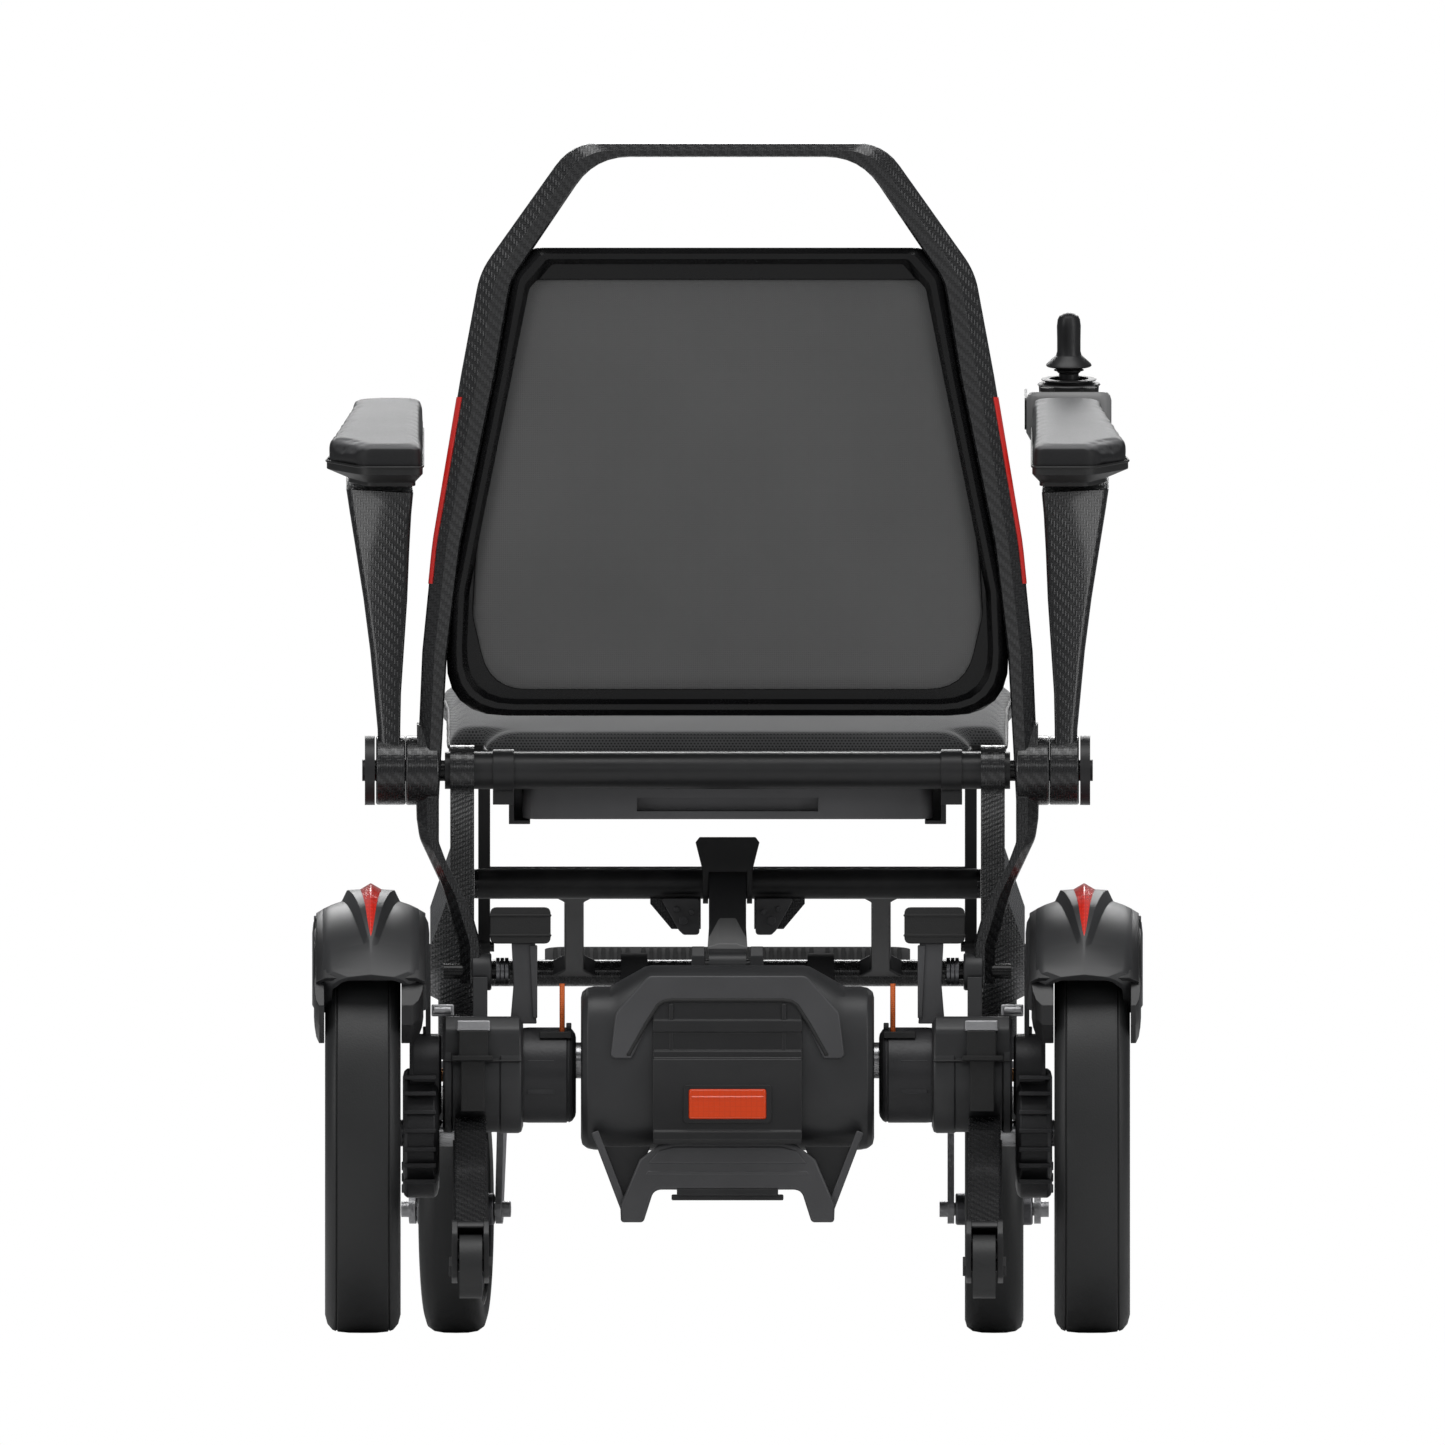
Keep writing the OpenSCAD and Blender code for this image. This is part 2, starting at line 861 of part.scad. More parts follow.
module antitip_tubes() {
    color([0.08, 0.08, 0.09])
    both_sides()
        difference() {
            union() {
                side_plate(181, 205)
                    polygon([[30, 160], [10, 118], [-200, 46], [-222, 44],
                        [-222, 66], [-60, 150], [-40, 160]]);
                side_plate(179.5, 206)
                    polygon([[-192, 52], [-192, 84], [-238, 84], [-250, 72], [-250, 42], [-222, 38]]);
            }
            x_rod(150, 220, clamp_r, 0, motor_z);
            x_rod(195, 220, 34, 0, axle_z);
            x_rod(183, 202, roller_r + 3, roller_y, roller_z);
            x_rod(178, 207, 4, roller_y, roller_z);
        }
}

module antitip_roller(side) {
    color([0.06, 0.06, 0.06])
    on_side(side) {
        x_rod(184, 201, roller_r, roller_y, roller_z);
        x_rod(179, 206.5, 4 - run_gap, roller_y, roller_z);
    }
}

module bump_stops() {
    color([0.07, 0.07, 0.07])
    both_sides() {
        block([144, -10, motor_z + clamp_r], [163, 10, 292]);
        translate([155.5, 0, 292])
            linear_extrude(27)
                rounded(45, 40, 6);
    }
}

module release_cables() {
    color([0.95, 0.3, 0.1])
    both_sides()
        bar([124, -22, motor_z + 30], [124, -22, 262], 2);
}

// ---------- latch ----------

module latch_arm() {
    color([0.24, 0.24, 0.25])
    difference() {
        union() {
            side_plate(-14, 14) {
                translate([arm_pivot_y, arm_pivot_z])
                    circle(10);
                translate([crossbar_y, crossbar_z])
                    circle(17.5);
                polygon([[arm_pivot_y - 3, arm_pivot_z + 9], [arm_pivot_y + 3, arm_pivot_z - 9],
                    [crossbar_y - 10, crossbar_z - 12], [crossbar_y - 6, crossbar_z + 14]]);
            }
            x_rod(-22, 22, 4 - run_gap, arm_pivot_y, arm_pivot_z);
            x_rod(-19, 19, 3, crossbar_y - 24, crossbar_z - 8);
        }
        x_rod(-15, 15, crossbar_r + 1.5, crossbar_y, crossbar_z);
        block([-15, crossbar_y - crossbar_r - 1.5, crossbar_z - 40],
            [15, crossbar_y + crossbar_r + 20, crossbar_z]);
    }
}

module latch_paddle() {
    py = crossbar_y - 24;
    pz = crossbar_z - 8;
    color([0.05, 0.05, 0.05])
    difference() {
        union() {
            both_sides()
                side_plate(14.5, 18.5) {
                    translate([py, pz])
                        circle(7);
                    polygon([[py - 7, pz], [py + 7, pz], [py + 2, pz + 20], [py - 4, pz + 20]]);
                }
            translate([0, py + 2, 0])
                rotate([90, 0, 0])
                    linear_extrude(6)
                        polygon([[-18.5, pz + 17], [18.5, pz + 17], [24, 368],
                            [21, 372], [-21, 372], [-24, 368]]);
        }
        x_rod(-20, 20, 3 + run_gap, py, pz);
    }
}

// ---------- wheels ----------

tyre_seat_r = 116;

module tyre(side) {
    w = wheel_w / 2;
    color([0.16, 0.16, 0.17])
    on_side(side)
        translate([wheel_x, 0, axle_z])
            rotate([0, 90, 0])
                rotate_extrude($fn = 96)
                    polygon(concat([[tyre_seat_r, -w + 5]],
                        [[wheel_d / 2 - 22, -w]],
                        arc(wheel_d / 2 - 14, -w + 14, 14, -90, 0, 5),
                        arc(wheel_d / 2 - 14, w - 14, 14, 0, 90, 5),
                        [[wheel_d / 2 - 22, w]],
                        [[tyre_seat_r, w - 5]]));
}

module rim(side) {
    color([0.3, 0.3, 0.31])
    on_side(side)
        difference() {
            union() {
                difference() {
                    x_rod(wheel_x - 22.5, wheel_x + 22.5, tyre_seat_r, 0, axle_z);
                    x_rod(wheel_x - 24, wheel_x + 24, tyre_seat_r - 7, 0, axle_z);
                }
                x_rod(wheel_x - 6, wheel_x + 6, tyre_seat_r - 3, 0, axle_z);
                x_rod(wheel_x - 26, wheel_x + 24, 30, 0, axle_z);
            }
            for (a = [0:72:359])
                translate([wheel_x - 10, 0, axle_z])
                    rotate([a, 0, 0])
                        for (r = [56, 84])
                            translate([0, 0, r])
                                rotate([0, 90, 0])
                                    cylinder(h = 20, r = r / 4 + 3);
            x_rod(wheel_x - 40, 292, axle_r, 0, axle_z);
        }
}

// ---------- casters ----------

// Frame of one caster: its swivel axis in the plane X = 0
module in_caster(side) {
    translate([side * caster_x, caster_y, 0])
        rotate([0, 0, side < 0 ? -caster_yaw : 0])
            translate([0, -caster_y, 0])
                children();
}

module fork(side) {
    fy = caster_y - caster_trail;
    color([0.1, 0.1, 0.1])
    in_caster(side) {
        translate([0, caster_y, 195])
            cylinder(h = 60, r = stem_r);
        translate([0, caster_y, 195])
            cylinder(h = 9, r = 15);
        block([-fork_gap - fork_t, caster_y - 24, 190], [fork_gap + fork_t, caster_y + 18, 199]);
        both_sides() {
            side_plate(fork_gap, fork_gap + fork_t) {
                translate([fy, caster_z])
                    circle(11);
                polygon([[fy - 11, caster_z], [fy + 11, caster_z],
                    [caster_y + 18, 192], [caster_y - 24, 192]]);
            }
            x_rod(fork_gap + fork_t, fork_gap + fork_t + 6, 6, fy, caster_z);
        }
        x_rod(-fork_gap, fork_gap, caster_bolt_r, fy, caster_z);
    }
}

module caster_hub(side) {
    fy = caster_y - caster_trail;
    color([0.25, 0.25, 0.26])
    in_caster(side)
        difference() {
            union() {
                x_rod(-caster_w / 2 + 4, caster_w / 2 - 4, caster_d / 2 - 22, fy, caster_z);
                x_rod(-fork_gap + 1, fork_gap - 1, 12, fy, caster_z);
            }
            for (s = [-1, 1])
                difference() {
                    x_rod(s * 12 - 7, s * 12 + 7, caster_d / 2 - 30, fy, caster_z);
                    x_rod(s * 12 - 8, s * 12 + 8, 20, fy, caster_z);
                }
            x_rod(-40, 40, caster_bolt_r + run_gap, fy, caster_z);
        }
}

module caster_tyre(side) {
    w = caster_w / 2;
    color([0.12, 0.12, 0.12])
    in_caster(side)
        translate([0, caster_y - caster_trail, caster_z])
            rotate([0, 90, 0])
                rotate_extrude($fn = 96)
                    polygon(concat([[caster_d / 2 - 22, -w + 3]],
                        arc(caster_d / 2 - 13, -w + 13, 13, -90, 0, 5),
                        arc(caster_d / 2 - 13, w - 13, 13, 0, 90, 5),
                        [[caster_d / 2 - 22, w - 3]]));
}

// ---------- armrests ----------

pad_len = 250;
pad_t = 22;

module arm_support(side) {
    front = side > 0 ? joy_y - arm_top_y - box_len / 2 - 6 : 120;
    color([0.12, 0.12, 0.13])
    on_side(side)
        difference() {
            union() {
                x_rod(arm_x0, arm_x1, arm_hub_r, hub_y, hub_z);
                block([245, hub_y - 20, hub_z + 5], [262, hub_y + 20, hub_z + 31]);
                hull() {
                    block([245, hub_y - 20, hub_z + 29], [262, hub_y + 20, hub_z + 31]);
                    in_arm()
                        block([236, -50, -10], [286, 50, -8]);
                }
                in_arm()
                    block([234, -115, -8], [288, front, -2]);
            }
            x_rod(arm_x0 - 1, arm_x1 + 1, hub_pin_r + run_gap, hub_y, hub_z);
        }
}

module arm_pad(side) {
    color([0.45, 0.46, 0.47])
    on_side(side)
        in_arm()
            translate([0, 0, -1.9])
                linear_extrude(pad_t)
                    polygon([[228, -125], [275, -125], [303, -84],
                        [280, pad_len - 125], [228, pad_len - 125]]);
}

// ---------- joystick ----------

// Frame of the joystick: origin at the crossing of its two tilt axes
module in_joystick() {
    in_arm()
        translate([joy_x, joy_y - arm_top_y, 22])
            children();
}

module joystick_box() {
    color([0.13, 0.13, 0.13])
    in_joystick()
        difference() {
            translate([0, -6, 8 - box_h])
                linear_extrude(box_h)
                    rounded(65, box_len, 10);
            translate([0, 0, -22])
                cylinder(h = 60, r = 20);
            rotate([0, 90, 0])
                cylinder(h = 52, r = joy_r_pin + run_gap, center = true);
            for (x = [-16, 16])
                translate([x, -36, 2])
                    cylinder(h = 20, r = 5.5);
            // Charger socket in the front wall
            translate([0, box_len / 2 - 16, -10])
                rotate([-90, 0, 0])
                    cylinder(h = 20, r = socket_r);
        }
}

module joystick_gimbal() {
    color([0.5, 0.5, 0.5])
    in_joystick()
        difference() {
            union() {
                translate([0, 0, -4])
                    cylinder(h = 8, r = 15);
                rotate([0, 90, 0])
                    cylinder(h = 50, r = joy_r_pin, center = true);
            }
            translate([0, 0, -5])
                cylinder(h = 10, r = 10);
            rotate([90, 0, 0])
                cylinder(h = 40, r = joy_r_pin + run_gap, center = true);
        }
}

module joystick_stick() {
    color([0.07, 0.07, 0.07])
    in_joystick() {
        translate([0, 0, -10])
            cylinder(h = 48, r = 4);
        rotate([90, 0, 0])
            cylinder(h = 29, r = joy_r_pin, center = true);
        translate([0, 0, 36])
            cylinder(h = 26, r = 8.5);
    }
}

module top_button(x) {
    in_joystick()
        translate([x, -36, 4])
            cylinder(h = 6, r = 5.4);
}

module power_button() {
    color("red")
    top_button(-16);
}

module horn_button() {
    color("orange")
    top_button(16);
}

front_frame();
cross_tube();
hub_axles();
hub_caps();
footplate();
footplate_grips();
seat_pan();
seat_cushion();
battery_pack();
seat_prop();
back_frame();
back_shell();
back_panel();
back_cushion();
back_screws();
pivot_springs();
pivot_pins();
clamp_blocks();
motor_case(-1);  // motor_case_left
motor_case(1);  // motor_case_right
gearbox(-1);  // gearbox_left
gearbox(1);  // gearbox_right
fender(-1);  // fender_left
fender(1);  // fender_right
reflectors();
unit_housing();
unit_cover();
rear_light();
folding_stand();
control_board();
antitip_tubes();
bump_stops();
release_cables();
latch_arm();
latch_paddle();
tyre(-1);  // tyre_left
tyre(1);  // tyre_right
rim(-1);  // rim_left
rim(1);  // rim_right
axle_gear(-1);  // axle_gear_left
axle_gear(1);  // axle_gear_right
rotor(-1);  // rotor_left
rotor(1);  // rotor_right
fork(-1);  // fork_left
fork(1);  // fork_right
caster_hub(-1);  // caster_hub_left
caster_hub(1);  // caster_hub_right
caster_tyre(-1);  // caster_tyre_left
caster_tyre(1);  // caster_tyre_right
antitip_roller(-1);  // antitip_roller_left
antitip_roller(1);  // antitip_roller_right
arm_support(-1);  // arm_support_left
arm_support(1);  // arm_support_right
arm_pad(-1);  // arm_pad_left
arm_pad(1);  // arm_pad_right
joystick_box();
joystick_gimbal();
joystick_stick();
power_button();
horn_button();
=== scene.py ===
import json
import math

import bmesh
import bpy
from mathutils import Matrix, Vector
from mathutils.bvhtree import BVHTree


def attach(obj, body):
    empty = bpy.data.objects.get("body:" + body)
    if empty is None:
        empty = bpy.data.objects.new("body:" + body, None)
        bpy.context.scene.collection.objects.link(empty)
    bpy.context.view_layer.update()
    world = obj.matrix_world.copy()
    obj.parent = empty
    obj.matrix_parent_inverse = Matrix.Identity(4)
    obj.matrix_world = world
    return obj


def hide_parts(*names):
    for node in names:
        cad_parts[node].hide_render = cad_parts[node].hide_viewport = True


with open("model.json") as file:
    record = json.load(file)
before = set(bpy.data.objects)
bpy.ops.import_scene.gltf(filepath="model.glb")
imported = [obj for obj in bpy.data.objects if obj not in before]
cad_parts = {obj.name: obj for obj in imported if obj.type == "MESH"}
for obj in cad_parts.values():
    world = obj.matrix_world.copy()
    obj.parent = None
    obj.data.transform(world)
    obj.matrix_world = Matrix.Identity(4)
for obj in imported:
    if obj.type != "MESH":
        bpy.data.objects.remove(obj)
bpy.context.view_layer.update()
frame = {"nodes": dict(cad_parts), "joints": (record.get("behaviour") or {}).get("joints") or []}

MM = 0.001
scene = bpy.context.scene
joints = {j["name"]: j for j in frame["joints"]}


def joint_mm(name):
    """A joint's place in millimetres."""
    return Vector(joints[name]["pos_m"]) / MM


HUB = joint_mm("back_fold")
LOW = joint_mm("chassis_fold")
AXLE = joint_mm("drive_wheel_right")
RECLINE = math.radians(12)
SEAT_TILT = math.radians(6.4)
ARM_TILT = math.radians(7)
TAN_BACK = math.tan(RECLINE)
TAN_LOW = (HUB.y - LOW.y) / (HUB.z - LOW.z)
SEAT = Matrix.Translation((0, HUB.y, HUB.z)) @ Matrix.Rotation(SEAT_TILT, 4, "X")
ARM_TURN = Matrix.Rotation(ARM_TILT, 4, "X")
STICK = joint_mm("joystick_pitch")
STICK_ON_ARM = Vector((256, 179, 22))
ARM = Matrix.Translation(STICK - ARM_TURN @ STICK_ON_ARM) @ ARM_TURN
ARM.translation.x = 0
BOX = ARM @ Matrix.Translation(STICK_ON_ARM)
REAR = "rear_chassis"


# ---------- finishes ----------

class Finish:
    """A small node-graph writer round one Principled shader."""

    def __init__(self, name):
        self.mat = bpy.data.materials.new(name)
        self.mat.use_nodes = True
        self.tree = self.mat.node_tree
        self.tree.nodes.clear()
        out = self.node("ShaderNodeOutputMaterial")
        self.bsdf = self.node("ShaderNodeBsdfPrincipled")
        self.tree.links.new(self.bsdf.outputs[0], out.inputs[0])
        own = self.node("ShaderNodeTexCoord")
        self.coord = own.outputs["Object"]
        self.normal = own.outputs["Normal"]
        self.point = self.node("ShaderNodeNewGeometry").outputs["Pointiness"]

    def node(self, kind):
        return self.tree.nodes.new(kind)

    def put(self, socket, value):
        """Links an output to an input, or sets the input's own value."""
        if hasattr(value, "is_output"):
            self.tree.links.new(value, socket)
        elif hasattr(value, "__len__"):
            socket.default_value = (*value, 1.0)[:4] if len(value) == 3 and socket.type == "RGBA" else value
        else:
            socket.default_value = value

    def math(self, op, a, b=None, c=None):
        """Output of one math node."""
        n = self.node("ShaderNodeMath")
        n.operation = op
        for i, v in enumerate((a, b, c)):
            if v is not None:
                self.put(n.inputs[i], v)
        return n.outputs[0]

    def add(self, a, b):
        return self.math("ADD", a, b)

    def sub(self, a, b):
        return self.math("SUBTRACT", a, b)

    def mul(self, a, b):
        return self.math("MULTIPLY", a, b)

    def split(self, vector):
        n = self.node("ShaderNodeSeparateXYZ")
        self.put(n.inputs[0], vector)
        return n.outputs[0], n.outputs[1], n.outputs[2]

    def stretch(self, scale):
        """Object coordinates scaled along each axis."""
        n = self.node("ShaderNodeMapping")
        self.put(n.inputs["Vector"], self.coord)
        n.inputs["Scale"].default_value = scale
        return n.outputs[0]

    def noise(self, scale, detail=3.0, vector=None, rough=0.5):
        n = self.node("ShaderNodeTexNoise")
        self.put(n.inputs["Vector"], vector or self.coord)
        n.inputs["Scale"].default_value = scale
        n.inputs["Detail"].default_value = detail
        n.inputs["Roughness"].default_value = rough
        return n.outputs["Fac"]

    def fit(self, value, a, b, lo=0.0, hi=1.0):
        """Maps a..b to lo..hi."""
        n = self.node("ShaderNodeMapRange")
        self.put(n.inputs["Value"], value)
        for key, v in zip(("From Min", "From Max", "To Min", "To Max"), (a, b, lo, hi)):
            n.inputs[key].default_value = v
        return n.outputs["Result"]

    def blend(self, fac, a, b):
        """Mix of two colours."""
        n = self.node("ShaderNodeMix")
        n.data_type = "RGBA"
        self.put(n.inputs["Factor"], fac)
        self.put(n.inputs[6], a)
        self.put(n.inputs[7], b)
        return n.outputs[2]

    def bump(self, height, distance, strength=1.0, normal=None):
        n = self.node("ShaderNodeBump")
        n.inputs["Distance"].default_value = distance
        n.inputs["Strength"].default_value = strength
        self.put(n.inputs["Height"], height)
        if normal is not None:
            self.put(n.inputs["Normal"], normal)
        return n.outputs[0]

    def faces(self):
        """Flat coordinates on whichever side a face looks towards."""
        nx, ny, nz = (self.math("ABSOLUTE", v) for v in self.split(self.normal))
        x, y, z = self.split(self.coord)
        side = self.math("GREATER_THAN", nx, self.math("MAXIMUM", ny, nz))
        top = self.math("GREATER_THAN", nz, self.math("MAXIMUM", nx, ny))
        u = self.add(x, self.mul(side, self.sub(y, x)))
        v = self.add(z, self.mul(top, self.sub(y, z)))
        return u, v

    def set(self, **values):
        """Sets the shader's inputs, underscores standing for spaces, and gives the material."""
        for key, value in values.items():
            self.put(self.bsdf.inputs[key.replace("_", " ")], value)
        return self.mat


def plain(name, color, rough, metal=0.0, grain=900.0, depth=0.00004, coat=0.0, worn=0.35, spread=0.08,
          shine=0.5):
    """Moulded, painted or machined surface: cloudy tone, fine grain, lighter worn edges."""
    f = Finish(name)
    cloud = f.noise(9.0, 4.0)
    fine = f.noise(grain, 2.0)
    tone = f.fit(cloud, 0.3, 0.7, 0.82, 1.18)
    shade = f.node("ShaderNodeVectorMath")
    shade.operation = "SCALE"
    f.put(shade.inputs[0], color)
    f.put(shade.inputs["Scale"], tone)
    edge = f.mul(f.fit(f.point, 0.52, 0.62, 0.0, worn), f.fit(f.noise(60.0, 4.0), 0.35, 0.65, 0.2, 1.0))
    light = tuple(min(1.0, c * 1.8 + 0.05) for c in color)
    base = f.blend(edge, shade.outputs[0], light)
    roughness = f.add(f.fit(cloud, 0.25, 0.75, rough - spread, rough + spread),
                      f.mul(f.sub(fine, 0.5), 0.12))
    return f.set(Base_Color=base, Roughness=roughness, Metallic=metal, Coat_Weight=coat, Coat_Roughness=0.12,
                 Specular_IOR_Level=shine, Normal=f.bump(fine, depth))


def carbon():
    """2x2 twill laminate under clear lacquer."""
    f = Finish("carbon_twill")
    u, v = f.faces()
    tow = 0.0021
    p = f.math("DIVIDE", u, tow)
    q = f.math("DIVIDE", v, tow)
    i = f.math("FLOOR", p)
    j = f.math("FLOOR", q)
    over = f.math("LESS_THAN", f.math("FLOORED_MODULO", f.add(i, j), 4.0), 1.5)
    fu = f.sub(f.math("FRACT", p), 0.5)
    fv = f.sub(f.math("FRACT", q), 0.5)
    across = f.add(fv, f.mul(over, f.sub(fu, fv)))
    bend = f.math("POWER", f.math("ABSOLUTE", across), 2.0)
    # The twill pattern is real; the lighter over-tows and lighter tow crowns are painted reflection,
    # standing in for the sheen of the lacquered tows.
    crown = f.sub(1.0, f.mul(bend, 3.4))
    strand = f.noise(2600.0, 1.0)
    level = f.add(f.mul(over, 0.35), f.mul(strand, 0.25))
    tone = f.mul(crown, level)
    base = f.blend(tone, (0.003, 0.003, 0.0035), (0.055, 0.056, 0.058))
    rough = f.fit(over, 0.0, 1.0, 0.36, 0.24)
    bump = f.bump(f.add(crown, f.mul(strand, 0.15)), 0.00022, 0.75)
    return f.set(Base_Color=base, Roughness=rough, Metallic=0.2, Coat_Weight=0.5, Coat_Roughness=0.12,
                 Normal=bump)


def mesh_cloth(name, dark, light, pitch, depth, sheen):
    """Knitted spacer mesh: staggered rows of small open cells."""
    f = Finish(name)
    u, v = f.faces()
    p = f.math("DIVIDE", u, pitch)
    q = f.math("DIVIDE", v, pitch * 0.8)
    shift = f.mul(f.math("FLOORED_MODULO", f.math("FLOOR", q), 2.0), 0.5)
    a = f.sub(f.math("FRACT", f.add(p, shift)), 0.5)
    b = f.sub(f.math("FRACT", q), 0.5)
    r = f.math("SQRT", f.add(f.mul(a, a), f.mul(b, b)))
    cell = f.fit(r, 0.2, 0.42)
    yarn = f.noise(2200.0, 2.0)
    cloud = f.noise(7.0, 3.0)
    tone = f.mul(f.mul(cell, f.fit(yarn, 0.3, 0.7, 0.55, 1.0)), f.fit(cloud, 0.3, 0.7, 0.7, 1.1))
    base = f.blend(tone, dark, light)
    height = f.add(cell, f.mul(yarn, 0.3))
    return f.set(Base_Color=base, Roughness=f.fit(yarn, 0.3, 0.7, 0.7, 0.9), Sheen_Weight=sheen,
                 Sheen_Roughness=0.4, Normal=f.bump(height, depth, 0.8))


def weave_cloth():
    """Plain stretched cover with a fine over-and-under weave."""
    f = Finish("panel_weave")
    u, v = f.faces()
    thread = 0.0016
    p = f.mul(u, math.tau / thread)
    q = f.mul(v, math.tau / thread)
    height = f.add(f.math("SINE", p), f.math("SINE", q))
    cloud = f.noise(5.0, 4.0)
    base = f.blend(f.fit(cloud, 0.3, 0.7), (0.085, 0.085, 0.085), (0.105, 0.105, 0.105))
    return f.set(Base_Color=base, Roughness=0.85, Sheen_Weight=0.15, Normal=f.bump(height, 0.00008, 0.6))


def pad_skin():
    """Moulded foam skin with painted top light: upward faces light grey, sides near-black."""
    f = Finish("pad_skin")
    # Painted top light and shade: this mask grows as a face looks upwards and turns the colour from
    # near-black to light grey.
    painted_top_light = f.fit(f.split(f.normal)[2], 0.3, 0.85)
    pores = f.noise(1500.0, 2.0)
    cloud = f.noise(8.0, 4.0)
    top = f.blend(f.fit(cloud, 0.3, 0.7), (0.115, 0.116, 0.119), (0.15, 0.151, 0.154))
    return f.set(Base_Color=f.blend(painted_top_light, (0.016, 0.016, 0.017), top),
                 Roughness=f.fit(pores, 0.3, 0.7, 0.46, 0.6), Specular_IOR_Level=0.32,
                 Normal=f.bump(f.add(pores, f.noise(240.0)), 0.00012, 0.7))


def brushed(name, color, rough, axis):
    """Turned or drawn metal with long scratches."""
    f = Finish(name)
    scale = [420.0, 420.0, 420.0]
    scale[axis] = 12.0
    lines = f.noise(1.0, 3.0, f.stretch(scale))
    cloud = f.noise(30.0, 3.0)
    base = f.blend(f.fit(lines, 0.3, 0.7), tuple(c * 0.8 for c in color), color)
    return f.set(Base_Color=base, Metallic=1.0, Anisotropic=0.4,
                 Roughness=f.add(f.fit(lines, 0.3, 0.7, rough - 0.06, rough + 0.06), f.mul(cloud, 0.06)),
                 Normal=f.bump(lines, 0.00003))


def faceted(name, color, glow, cell):
    """Moulded prismatic plastic, clear, giving off a glow of its own colour."""
    f = Finish(name)
    n = f.node("ShaderNodeTexVoronoi")
    n.feature = "F1"
    n.distance = "CHEBYCHEV"
    f.put(n.inputs["Vector"], f.coord)
    n.inputs["Scale"].default_value = 1.0 / cell
    n.inputs["Randomness"].default_value = 0.0
    base = f.blend(f.fit(n.outputs["Distance"], 0.0, 0.6), color, tuple(c * 0.55 for c in color))
    # glow sets an emission of the base colour; on the red reflector this is a painted glow.
    return f.set(Base_Color=base, Roughness=0.16, Coat_Weight=1.0, Coat_Roughness=0.04,
                 Emission_Color=base, Emission_Strength=glow,
                 Normal=f.bump(n.outputs["Distance"], 0.0004, 0.6))


def cord(name, a, b):
    """Braided cord in two tones."""
    f = Finish(name)
    x, y, z = f.split(f.coord)
    p = f.math("SINE", f.mul(f.add(z, x), math.tau / 0.003))
    q = f.math("SINE", f.mul(f.sub(z, x), math.tau / 0.003))
    cross = f.mul(p, q)
    return f.set(Base_Color=f.blend(f.fit(cross, -1, 1), a, b), Roughness=0.6,
                 Normal=f.bump(cross, 0.0002))


def board():
    """Green circuit board with lighter tracks."""
    f = Finish("circuit_board")
    lines = f.noise(1.0, 0.0, f.stretch((260.0, 260.0, 60.0)))
    base = f.blend(f.fit(lines, 0.48, 0.52), (0.01, 0.09, 0.035), (0.03, 0.2, 0.08))
    return f.set(Base_Color=base, Roughness=0.35, Coat_Weight=0.4, Normal=f.bump(lines, 0.0001))


MAT = {
    "carbon": carbon(),
    "black_plastic": plain("satin_black", (0.012, 0.012, 0.0128), 0.42, worn=0.2),
    "grey_plastic": plain("satin_grey", (0.03, 0.0305, 0.032), 0.42, grain=1300.0, worn=0.2),
    "stand_plastic": plain("stand_grey", (0.065, 0.065, 0.068), 0.4, worn=0.2),
    "gloss_black": plain("gloss_black", (0.0025, 0.0025, 0.0028), 0.26, coat=0.08, worn=0.04, spread=0.04,
                         shine=0.3),
    "panel": weave_cloth(),
    "seat_fabric": mesh_cloth("seat_mesh", (0.02, 0.0205, 0.021), (0.17, 0.172, 0.176), 0.0026, 0.0003, 0.5),
    "pad": pad_skin(),
    "cast_grey": plain("cast_grey", (0.032, 0.032, 0.034), 0.42, metal=0.3, grain=500.0, depth=0.00012),
    "steel": brushed("steel", (0.62, 0.62, 0.63), 0.28, 0),
    "alloy": brushed("dark_alloy", (0.2, 0.2, 0.21), 0.34, 0),
    "light_alloy": plain("cast_silver", (0.42, 0.42, 0.43), 0.38, metal=0.85, grain=260.0, depth=0.0004),
    "tyre": plain("tyre_rubber", (0.018, 0.0185, 0.019), 0.5, grain=700.0, depth=0.0001, worn=0.1),
    "rubber": plain("soft_rubber", (0.013, 0.013, 0.013), 0.62, grain=800.0, depth=0.0001, worn=0.1),
    "dull_rubber": plain("dull_rubber", (0.014, 0.014, 0.0145), 0.85, grain=800.0, depth=0.0001, worn=0.05,
                         shine=0.04),
    "step_plastic": plain("step_plastic", (0.03, 0.03, 0.031), 0.8, grain=600.0, depth=0.0001, worn=0.1,
                          shine=0.06),
    "lens": faceted("orange_lens", (0.92, 0.07, 0.005), 0.18, 0.004),
    # Painted glow: the red reflector is no lamp, yet it is given an emission.
    "reflector": faceted("red_reflector", (0.85, 0.035, 0.02), 0.3, 0.003),
    "orange_cord": cord("orange_cord", (0.5, 0.07, 0.01), (0.9, 0.2, 0.03)),
    "board": board(),
    "battery_case": plain("battery_case", (0.1, 0.1, 0.104), 0.45),
    "copper": brushed("copper", (0.6, 0.3, 0.14), 0.3, 0),
    "stripe": plain("red_enamel", (0.7, 0.02, 0.015), 0.3, coat=0.6, worn=0.0),
    "trim": plain("pad_trim", (0.012, 0.012, 0.012), 0.5),
    "light_grey": plain("light_grey_shell", (0.2, 0.2, 0.2), 0.42, grain=1500.0, worn=0.1),
}


# ---------- shapes, all in millimetres ----------

def fillet(corners, steps=6):
    """Rounded outline through (a, b, radius) corners; each corner gives steps + 1 points."""
    out = []
    n = len(corners)
    for k in range(n):
        p, c, q = (Vector(corners[(k + d) % n][:2]) for d in (-1, 0, 1))
        out += arc_corner(p, c, q, corners[k][2], steps)
    return out


